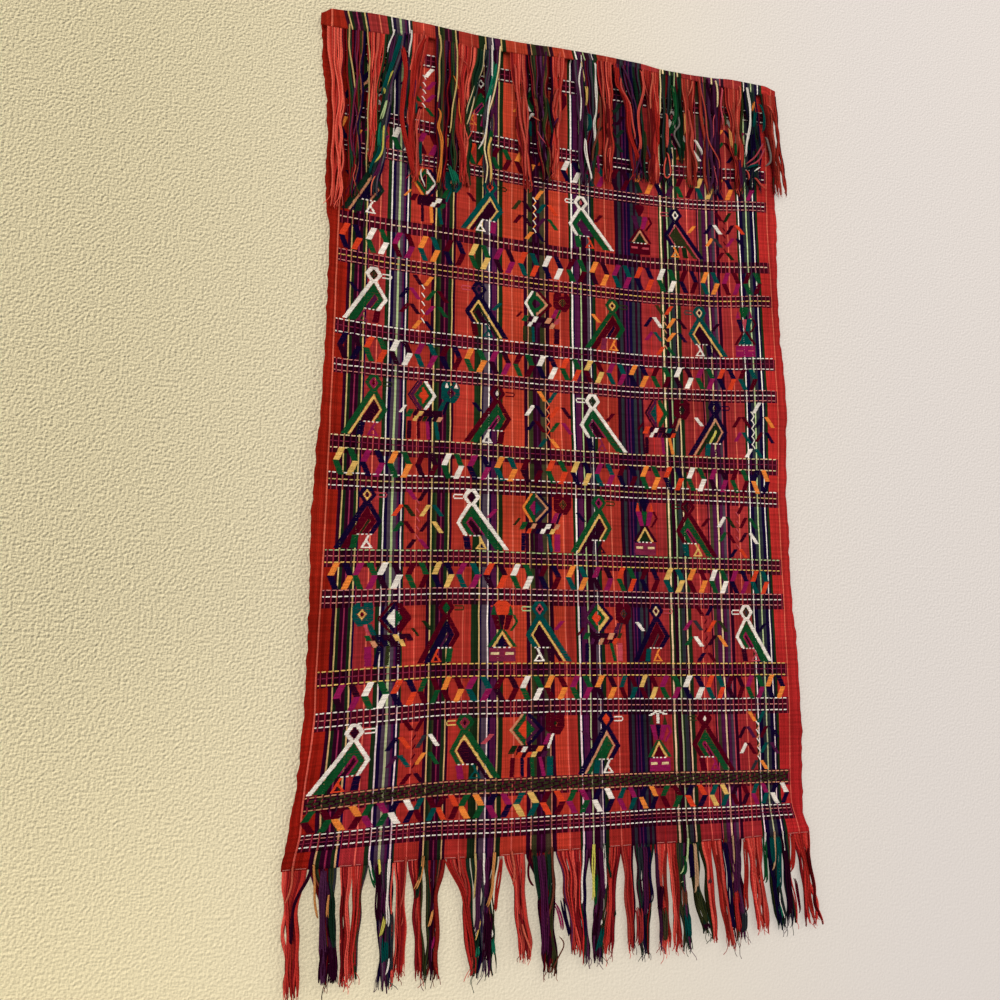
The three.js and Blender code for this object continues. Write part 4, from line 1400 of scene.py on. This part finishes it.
# Here too the coral strands paint highlights along the red locks.
FOOT_STRAYS = """
plum 3 -239 837 -248 856 -251 885 -251 898 | pink 1.6 -251 836 -252 850 -258 865
amber 2 -236 836 -233 855 -228 879 | mauve 6 -225 836 -226 860 -222 932
amber 2.5 -220 853 -221 869 -220 879 | bottle 5 -217 855 -217 885 -213 898
plum 7 -221 893 -224 912 -223 930 | plum 7 -217 895 -214 914 -214 932 | green 4 -186 837 -182 848 -178 857
white 1.8 -184 836 -179 852 | plum 5 -178 841 -178 869 -176 887 | lemon 2 -175 836 -173 841 -175 850
purple 4 -173 855 -173 879 | white 2.6 -167 836 -170 869 -168 879 -169 892 | lemon 3.5 -171 878 -175 898
teal 6 -170 894 -171 920 | slate 3 -165 874 -164 927 | white 1.6 -167 910 -167 922 -170 931
coral 1.6 -154 836 -155 860 -158 877 | coral 1.4 -155 879 -157 891 | amber 3 -140 836 -140 845 -146 861
bottle 3 -138 841 -144 869 | amber 2.5 -128 874 -133 896 | magenta 2 -126 898 -130 913
vermilion 4 -118 841 -102 863 -95 893 -91 923 | coral 1.4 -106 836 -103 853
straw 2 -92 836 -90 855 -91 874 | mauve 5 -87 837 -88 889 -91 903 | white 2 -83 836 -82 863
purple 4 -79 837 -81 874 | amber 3 -73 836 -75 863 -80 881 | vermilion 4 -66 837 -71 869 -72 885
magenta 1.6 -74 887 -80 893 | plum 8 -78 879 -79 908 -81 927 | yellow 2.5 -84 882 -90 908
jade 4 -87 908 -88 922 | jade 4 -74 903 -73 922 | white 1.6 -74 896 -75 906
pink 1.8 -56 836 -53 845 -55 863 | pink 1.8 -46 891 -45 900 -36 924
maroon 2 -41 837 -44 850 -37 863 -33 864 | purple 8 -28 836 -24 884 -24 927 | bottle 4 -35 840 -29 879
bottle 4 -20 841 -20 865 -22 885 | brown 2.5 -16 841 -15 869 -25 908 | magenta 3.5 -15 879 -9 891 -6 908
brown 1.2 -24 927 -20 942 -15 932 -3 915 -11 909 | navy 4 -7 874 -6 889 2 913
white 2 16 836 13 860 13 879 11 887 | navy 3 15 840 15 889 16 917 | lemon 3 26 836 24 858 24 885
green 3 27 855 26 889 | purple 5 32 836 33 879 | white 2.5 36 836 36 865 35 874 | grey 2.5 34 877 34 893
plum 4 27 889 26 908 21 917 | white 1.8 33 896 31 906 | teal 5 34 903 30 917 27 929 | bottle 3 39 841 42 865
bottle 2 46 889 45 900 | slate 5 72 836 72 871 | purple 5 77 836 77 889 75 903
navy 3 81 836 82 869 84 880 81 893 | crimson 8 69 889 71 913 69 927 | plum 6 94 871 91 889 92 898
olive 5 97 891 96 927 | mint 2 119 836 118 855 113 867 | mint 1.6 118 867 114 874
green 4 118 845 119 860 115 869 | brown 5 117 874 117 898 | teal 7 119 898 120 913 121 925
navy 5 124 836 126 871 | tan 4 129 836 130 860 129 884 | moss 5 131 874 132 889 140 913
plum 8 137 908 142 918 | slate 3 144 867 143 877 | navy 5 160 836 164 869 165 898 168 922
purple 5 165 841 171 869 170 889 | tan 2 169 836 169 869 168 879 | mauve 6 174 836 175 860 172 889
ruby 5 171 879 171 898 174 923 | straw 1.8 177 889 178 896 | slate 6 179 898 179 925
vermilion 5 184 837 182 889 183 905 | coral 2 201 865 198 874 | green 4 206 836 206 869 205 882
white 2 208 836 206 848 | navy 4 210 836 211 855 214 867 | teal 5 215 836 214 865
tan 2 218 836 218 850 214 872 | teal 6 222 836 223 855 220 889 | navy 5 217 871 215 884 221 919
jade 4 220 898 223 916 | white 1 224 885 220 892 225 913 229 918 | plum 5.5 226 836 231 860 234 917
white 1.2 231 836 230 856 | vermilion 5 239 837 238 860 235 874 | maroon 3 240 874 242 898 244 913
"""
STRAY_SMOOTHING = (-6, -3, 0, 3, 6)  # a stray's bends are averaged over these steps along it
STRAY_RINGS = 18
STRAY_TUCK = 6.0  # over this length the ends of a stray go in among the other strands
STRAY_DIVE, STRAY_THINNED = 2.4, 0.5  # how deep they go, and the share of their width that they lose
STRAY_AT_EDGE = 7.0  # a stray that starts this close to the edge starts at it
EDGE_TUCK, JOIN_TUCK = 1.0, 3.0  # this far inside it, or this far when it goes on from a line of the cloth
STRAY_RAGGED, RAGGED_SHARE = 5.0, 1 / 6  # its threads' ends differ by this at most, or this share of it
STRAY_TINTS = (0.6, 0.9)
STRAY_PITCH, STRAY_FULL = 0.92, 1.12  # pitch and width of its threads, for threads that just touch
STRAY_WAVE, STRAY_WAVE_LENGTH = 0.4, 7.0
STRAY_RIPPLE, STRAY_RIPPLE_LENGTH = 0.3, 9.0  # in depth
STRAY_OVER_EDGE, STRAY_OVER_LOCKS, STRAY_SPAN = 0.8, 0.2, 6.0  # what it clears, and the width it lies across
STRAY_CALM, STRAY_OUT = 9.0, 15.0  # where its waves start, and where it has come out onto the locks
# A stray no wider than this and no further to a side of one of the cloth's pale lines goes on from that line.
JOINED_WIDTH, JOINED_ASIDE = 3.7, 6.0
JOIN_RISE, JOIN_LENGTH = 12.0, 30.0  # over which it rises from the cloth and comes to its own place
LINES = ("white", "cream", "mint", "straw", "peach", "pink", "rose", "mulberry")


def strands(name, batches, material):
    """Flattened tubes. A batch is an array of paths x points x 3, in millimetres, its tints and its radii."""
    points, uvs, colours, faces, first = [], [], [], [], 0
    for paths, tints, radii in batches:
        count, rings, _ = paths.shape
        ahead = np.gradient(paths, axis=1)
        ahead /= np.linalg.norm(ahead, axis=2, keepdims=True)
        side = np.cross(ahead, np.array([0.0, 1.0, 0.0]))
        side /= np.linalg.norm(side, axis=2, keepdims=True)
        front = np.cross(ahead, side) * STRAND_FLAT
        angle = 2 * np.pi * np.arange(STRAND_SIDES) / STRAND_SIDES
        cos, sin = np.cos(angle)[:, None], np.sin(angle)[:, None]
        ring = side[:, :, None] * cos + front[:, :, None] * sin
        points.append((paths[:, :, None] + ring * radii[:, :, None, None]).reshape(-1, 3))
        steps = np.linalg.norm(np.diff(paths, axis=1), axis=2)
        length = np.concatenate([np.zeros((count, 1)), np.cumsum(steps, axis=1)], axis=1)
        length = length + chance.uniform(0, YARN_RUN, (count, 1))
        uv = np.broadcast_arrays(length[:, :, None] * MM, angle / (2 * np.pi))
        uvs.append(np.stack(uv, axis=-1).reshape(-1, 2))
        colours.append(np.broadcast_to(tints[:, None, :], (count, rings * STRAND_SIDES, 3)).reshape(-1, 3))
        faces.append(first + copies(grid_faces(rings, STRAND_SIDES, wrap=True), count, rings * STRAND_SIDES))
        first += count * rings * STRAND_SIDES
    joined = [np.concatenate(part) for part in (points, faces, uvs, colours)]
    return make_piece(name, joined[0] * MM, joined[1], material, uv=joined[2], tint=joined[3])


def tapered(radius, count, rings):
    """Radii of strands that thin out towards their tips."""
    taper = np.clip((1 - np.linspace(0, 1, rings)) * TAPER, TIP_RADIUS, 1)
    return radius * taper[None, :] * chance.uniform(*STRAND_WIDTHS, (count, 1))


def lock_paths(lock, fringe):
    """The strands of one lock: their paths and the X where each leaves the cloth."""
    count = max(3, round(lock["wide"] / STRAND_PITCH))
    place = (np.arange(count) + 0.5) / count * 2 - 1
    start_x = lock["at"] + lock["wide"] / 2 * place
    trio = np.arange(count) // STRANDS_TOGETHER
    place = place[:, None]
    down = np.linspace(0, 1, fringe.rings)[None, :]
    start = fringe.edge(start_x)[:, None] - STRAND_ROOT
    tip = lock["drop"] - 1 + chance.normal(0, STRAND_LENGTHS, (count, 1))
    drop = start + (tip - start) * down
    gather = smooth_step(down, 0, fringe.drawn)
    opening = smooth_step(down, fringe.drawn, 1)
    middle = lock["at"] + (lock["bend"] - lock["at"]) * gather + (lock["tip"] - lock["bend"]) * opening
    width = lock["wide"] + (lock["waist"] - lock["wide"]) * gather + (lock["end"] - lock["waist"]) * opening
    filled = smooth_step(down, LOCK_LEAVES, LOCK_GATHERED)
    # Each trio waves together. Trios cross each other a little and lie at different depths.
    phase = chance.uniform(0, 2 * np.pi, (3, count))[:, trio, None]
    wave = chance.uniform(*WAVE_LENGTHS, count)[trio, None]
    own = chance.uniform(0, 2 * np.pi, (count, 1))
    deep = chance.uniform(-1, 1, count)[trio, None] + chance.normal(0, LAYER_JITTER, (count, 1))
    deep = np.clip(deep, -1, 1)
    sideways = place + CROSSING * filled * np.sin(2 * np.pi * drop / wave + phase[0])
    sideways = np.clip(sideways, -CROSSED_MOST, CROSSED_MOST) * LOCK_FILL
    waves = fringe.loose * np.sin(2 * np.pi * drop / wave + phase[1])
    waves = waves + RIPPLE * np.sin(drop / RIPPLE_LENGTH + own)
    x = middle + width / 2 * sideways + filled * (WAVY_AT_ROOT + WAVIER_AT_TIP * down) * waves
    half = LOCK_THICKNESS / 2
    resting = fringe.rest(middle + 0 * drop, width + 0 * drop, drop) - half
    y = fringe.root_y(start_x)[:, None] * (1 - filled) + resting * filled
    y = y - filled * half * (LAYERS * deep + LAYER_WAVE * np.sin(drop / LAYER_LENGTH + phase[2]))
    return np.stack([x, y, -drop], axis=-1), start_x


def frizz(paths, tints, reach):
    """Thin threads that stand out past the tips of a lock's strands."""
    count = int(chance.integers(FRIZZ_FEWEST, FRIZZ_MOST + 1))
    pick = chance.integers(0, len(paths), count)
    start, end = paths[pick, -FRIZZ_BACK][:, None], paths[pick, -1][:, None]
    ahead = (end - start) / np.linalg.norm(end - start, axis=2, keepdims=True)
    share = np.linspace(0, 1, FRIZZ_POINTS)[None, :, None]
    bend = chance.normal(0, FRIZZ_BEND, (count, 1, 1)) * FRIZZ_SIDEWAYS
    past = ahead * chance.uniform(*FRIZZ_REACHES, (count, 1, 1)) * reach * chance.uniform(*FRIZZ_REACHES)
    curl = chance.uniform(*FRIZZ_CURLS, (count, 1, 1))
    curl = curl * np.sin(share * FRIZZ_CURLY + chance.uniform(0, 6, (count, 1, 1)))
    line = start + (end - start + past) * share + bend * share**2 + curl * share * np.array([1, 0, 0])
    return line, tints[pick] * FRIZZ_TINT, np.full((count, FRIZZ_POINTS), FRIZZ)


def line_places(drop):
    """X of the pale lines of the warp at a drop."""
    ends = [start for start, _ in STRIPES[1:]] + [WARP_U[-1]]
    u = np.array([(start + end) / 2 for (start, name), end in zip(STRIPES, ends) if name in LINES])
    return warp_x(u, np.full_like(u, drop))


def stray_batch(routes, fringe):
    """The loose strands, each of one or more threads side by side."""
    paths, tints, radii = [], [], []
    for route in routes.strip().replace("\n", " | ").split(" | "):
        name, width, *numbers = route.split()
        width, points = float(width), np.array(numbers, float).reshape(-1, 2)
        top = float(fringe.edge(points[:1, 0])[0])
        at_edge = points[0, 1] < top + STRAY_AT_EDGE
        beside = fringe.lines[np.argmin(np.abs(fringe.lines - points[0, 0]))] - points[0, 0]
        joined = at_edge and width < JOINED_WIDTH and abs(beside) < JOINED_ASIDE
        if at_edge:
            points[0, 1] = top - (JOIN_TUCK if joined else EDGE_TUCK)
        run = np.concatenate([[0], np.cumsum(np.hypot(*np.diff(points, axis=0).T))])
        threads = max(1, round(width / (2 * THREAD)))
        radius = width / 2 / threads
        ragged = min(STRAY_RAGGED, run[-1] * RAGGED_SHARE)
        for i in range(threads):
            first, last = chance.uniform(0, ragged, 2) * (not at_edge, 1)
            reached = np.linspace(first, run[-1] - last, STRAY_RINGS)
            at = reached + np.array(STRAY_SMOOTHING)[:, None]
            x, drop = [np.interp(at, run, column).mean(axis=0) for column in points.T]
            if joined:
                x = x + beside * (1 - smooth_step(drop, top, top + JOIN_LENGTH))
                drop = drop - JOIN_TUCK * (1 - smooth_step(reached, 0, JOIN_RISE))
            aside = (i - (threads - 1) / 2) * 2 * radius
            wave = STRAY_WAVE * np.sin(drop / STRAY_WAVE_LENGTH + chance.uniform(0, 6))
            wave = wave * smooth_step(drop, top, top + STRAY_CALM)
            over = fringe.root_y(x) - SHEET / 2 - STRAY_OVER_EDGE
            on_locks = fringe.rest(x, np.full_like(x, STRAY_SPAN), drop) - LOCK_THICKNESS - STRAY_OVER_LOCKS
            out = smooth_step(drop, top, top + STRAY_OUT)
            depth = chance.normal(0, STRAY_RIPPLE)
            ripple = STRAY_RIPPLE * np.sin(drop / STRAY_RIPPLE_LENGTH + chance.uniform(0, 6))
            y = over * (1 - out) + (on_locks + depth - ripple) * out
            ends = 1 - (reached[-1] - reached) / STRAY_TUCK
            if not joined:
                ends = np.maximum(ends, 1 - (reached - reached[0]) / STRAY_TUCK)
            ends = np.clip(ends, 0, 1)
            x = x + aside * STRAY_PITCH + wave
            paths.append(np.stack([x, y + STRAY_DIVE * ends**2, -drop], axis=-1))
            tints.append(linear(name) * chance.uniform(*STRAY_TINTS))
            radii.append(radius * STRAY_FULL * (1 - STRAY_THINNED * ends))
    return np.array(paths), np.array(tints), np.array(radii)


def make_fringe(name, locks, strays, fringe, material):
    batches = []
    for lock in locks.rows():
        paths, start_x = lock_paths(lock, fringe)
        count, inner = len(paths), paths[1::STRANDS_TOGETHER] + (0, CORE_DEPTH, 0)
        tints = np.array([linear(fringe.tone_at(x)) for x in start_x])
        tints = tints * chance.uniform(*STRAND_TINTS, (count, 1)) * fringe.dye(lock["at"])
        batches.append((paths, tints, tapered(STRAND, count, fringe.rings)))
        # Painted shade: the inner strands are darker copies of the outer ones.
        inner_shaded_tints = tints[1::STRANDS_TOGETHER] * CORE_SHADE
        batches.append((inner, inner_shaded_tints, tapered(CORE, len(inner), fringe.rings)))
        batches.append(frizz(paths, tints, fringe.reach))
    batches.append(stray_batch(strays, fringe))
    return strands(name, batches, material)


def against_cloth(x, width, drop):
    """Y of the back of a lock that lies on the cloth."""
    places = [x - width / 2, x, x + width / 2]
    front = np.min([fall_depth(place, drop) for place in places], axis=0) - SHEET / 2
    return front - LOCK_CLEARANCE


def tones(drop):
    """Gives a colour for a strand that leaves the cloth at this drop, from the stripe at its X."""
    u = np.linspace(WARP_U[0], WARP_U[-1], TONE_STEPS)
    x = warp_x(u, np.full_like(u, drop))

    def tone_at(place):
        stripe = STRIPES[int(np.searchsorted(STRIPE_STARTS, np.interp(place, x, u), side="right")) - 1][1]
        return str(chance.choice(FRINGE_TONES[stripe].split()))

    return tone_at


# What each fringe hangs from and lies on, as functions of X: the drop of its edge, Y of its roots and, for a
# lock's middle, width and drop, Y of its back. Then the share of a lock above its waist, how far its strands
# wave, how far its thin ends reach, and what its colours are multiplied by, which on the flap also paints a
# faint sheen on the strands.
# The flap's multiplier brightens its strands and pales their reds: partly their own colour, partly a painted
# sheen.
FLAP_DYE_AND_SHEEN, FOOT_DYE = np.array([1.18, 1.33, 1.2]), np.array([1.08, 0.95, 0.98])
FLAP_DIM, FLAP_DIM_FROM, FLAP_DIM_OVER = 0.3, -90.0, 250.0  # the flap's locks grow darker to the right
FLAP_FRINGE = SimpleNamespace(
    rings=30,
    edge=flap_drop,
    root_y=lambda x: np.full_like(x, FLAP_Y),
    rest=against_cloth,
    tone_at=tones(0.0),
    lines=line_places(10.0),
    drawn=0.5,
    loose=0.8,
    reach=8,
    dye=lambda x: FLAP_DYE_AND_SHEEN * (1 - FLAP_DIM * np.clip((x - FLAP_DIM_FROM) / FLAP_DIM_OVER, 0, 1)),
)
FOOT_FRINGE = SimpleNamespace(
    rings=26,
    edge=lambda x: np.full_like(x, FELL),
    root_y=lambda x: fall_depth(x, np.full_like(x, FELL)),
    rest=lambda x, width, drop: fall_depth(x, np.full_like(drop, FELL)) + LOCK_THICKNESS / 2,
    tone_at=tones(FELL),
    lines=line_places(FELL),
    drawn=0.35,
    loose=0.5,
    reach=14,
    dye=lambda x: FOOT_DYE,
)


# ---- Wall, floor and light ----

WALL_HALF_WIDE, WALL_TOP, WALL_FOOT = 0.78, 0.32, -1.24
FLOOR_DROP, FLOOR_HALF = 1.9, 6.0
# The wall's colour paints light on it: warm lamplight at the left and cooler light at the right.
WALL_LEFT, WALL_RIGHT = (0.8, 0.695, 0.435), (0.685, 0.635, 0.605)  # its colour at either side
FLOOR_DARK, FLOOR_LIGHT = (0.74, 0.72, 0.68), (0.8, 0.78, 0.75)
# A share of the wall's own light keeps the shadows behind the fringe as pale as a white room does.
WALL_GLOW = 0.5
WALL_TONES = (-0.5, 0.45)  # from X to X, its colour changes
# The plaster's texture, and the painted shade of its lumps, is clearest at the left and fades towards the
# right and the foot: from X to X or from Z to Z, and how much there is at either end.
RELIEF_ACROSS, RELIEF_UP = (-0.45, 0.15, 1.0, 0.2), (-1.0, -0.6, 0.4, 1.0)
PLASTER_GRAIN, PLASTER_RELIEF = 400.0, 0.018
FLOOR_GRAIN, FLOOR_RELIEF = 1.5, (0.001, 0.2)
GRAZE = (0.0009, 0, -0.0009)  # from the light side of a lump to its dark side
GRAZE_GAIN = 2.2


def wall_material():
    """Pale plaster with a fine roller texture and painted light and shade, seen from the front only."""
    shader = Shader("plaster", 0.9)
    geometry = shader.add("ShaderNodeNewGeometry").outputs
    place = geometry["Position"]
    apart = shader.add("ShaderNodeSeparateXYZ", {"Vector": place}).outputs
    colour = shader.ramp(shader.span(apart["X"], *WALL_TONES), [(0, WALL_LEFT), (1, WALL_RIGHT)], "EASE")
    lumps = shader.noise(place, PLASTER_GRAIN)
    relief = shader.product(shader.span(apart["X"], *RELIEF_ACROSS), shader.span(apart["Z"], *RELIEF_UP))
    # Painted shade: each lump gets a light side and a dark side, as light grazing from the upper left would.
    moved = shader.add("ShaderNodeVectorMath", {0: place, 1: GRAZE}).outputs[0]
    lean = shader.math("SUBTRACT", shader.noise(moved, PLASTER_GRAIN), lumps)
    shade = shader.gain(lean, shader.product(relief, GRAZE_GAIN), 1.0)
    colour = shader.mix(1.0, colour, shade, "MULTIPLY")
    lit = shader.mix(1.0, colour, (WALL_GLOW,) * 3, "MULTIPLY")
    shader.links.new(lit, shader.surface.inputs["Emission Color"])
    shader.surface.inputs["Emission Strength"].default_value = 1.0
    dimmed = shader.mix(1.0, colour, (1 - WALL_GLOW,) * 3, "MULTIPLY")
    material = shader.finish(dimmed, lumps, PLASTER_RELIEF, relief)
    clear = shader.add("ShaderNodeBsdfTransparent").outputs[0]
    sides = {0: geometry["Backfacing"], 1: shader.surface.outputs[0], 2: clear}
    choice = shader.add("ShaderNodeMixShader", sides).outputs[0]
    shader.links.new(choice, shader.nodes["Material Output"].inputs["Surface"])
    return material


def floor_material():
    shader = Shader("pale_floor", 0.8)
    place = shader.add("ShaderNodeNewGeometry").outputs["Position"]
    cloud = shader.noise(place, FLOOR_GRAIN, detail=3.0)
    colour = shader.ramp(cloud, [(0, FLOOR_DARK), (1, FLOOR_LIGHT)], "EASE")
    return shader.finish(colour, cloud, *FLOOR_RELIEF)


def make_stage():
    one_quad = np.array([(0, 1, 2, 3)])
    left, right = -WALL_HALF_WIDE, WALL_HALF_WIDE
    corners = [(left, 0, WALL_FOOT), (right, 0, WALL_FOOT), (right, 0, WALL_TOP), (left, 0, WALL_TOP)]
    wall = make_piece("wall", np.array(corners), one_quad, wall_material())
    wall.visible_shadow = False
    corners = [(-1, -1, 0), (1, -1, 0), (1, 1, 0), (-1, 1, 0)]
    level = np.array(corners) * FLOOR_HALF - (0, 0, FLOOR_DROP)
    floor = make_piece("floor", level, one_quad, floor_material())


# Soft lights: where each stands, how large it is, its power in watts and its colour.
LIGHTS = (
    ((1.1, -2.0, 0.9), 2.4, 40, (1.0, 0.95, 0.88)),
    ((-1.8, -1.7, -0.3), 2.4, 20, (1.0, 0.93, 0.84)),
    ((-0.5, 2.4, 0.5), 2.0, 36, (0.95, 0.97, 1.0)),
)
LIGHT_TARGET = (0.0, 0.0, -0.45)
ROOM_COLOUR, ROOM_LIGHT = (0.93, 0.91, 0.88, 1), 0.66


def make_lights():
    for i, (place, size, power, colour) in enumerate(LIGHTS):
        data = bpy.data.lights.new(f"softbox_{i}", "AREA")
        data.size = size
        data.energy = power
        data.color = colour
        light = bpy.data.objects.new(f"softbox_{i}", data)
        light.location = place
        towards = np.subtract(LIGHT_TARGET, place)
        flat = math.hypot(towards[0], towards[1])
        light.rotation_euler = (math.atan2(flat, -towards[2]), 0, math.atan2(-towards[0], towards[1]))
        bpy.context.collection.objects.link(light)
    world = bpy.data.worlds.new("studio")
    world.use_nodes = True
    background = world.node_tree.nodes["Background"]
    background.inputs["Color"].default_value = ROOM_COLOUR
    background.inputs["Strength"].default_value = ROOM_LIGHT
    bpy.context.scene.world = world
    bpy.context.scene.view_settings.view_transform = "Standard"


# ---- The hanging ----


def make_hanging():
    cotton = cloth_material()
    brocade = yarn_material("brocade_yarn", ply=2.2, fuzz=3.0)
    yarn = yarn_material("warp_yarn", ply=3.4, fuzz=2.0)
    panel = make_cloth(cotton)
    raised = [*make_motifs(brocade), make_rings(brocade), make_band_lines(brocade)]
    fringes = [
        make_fringe("flap_fringe", TOP_LOCKS, FLAP_STRAYS, FLAP_FRINGE, yarn),
        make_fringe("foot_fringe", FOOT_LOCKS, FOOT_STRAYS, FOOT_FRINGE, yarn),
    ]
    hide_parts("cloth")
    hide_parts("top_fringe")
    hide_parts("bottom_fringe")
    for piece in (panel, *raised, *fringes):
        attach(piece, "root")


make_hanging()
make_stage()
make_lights()
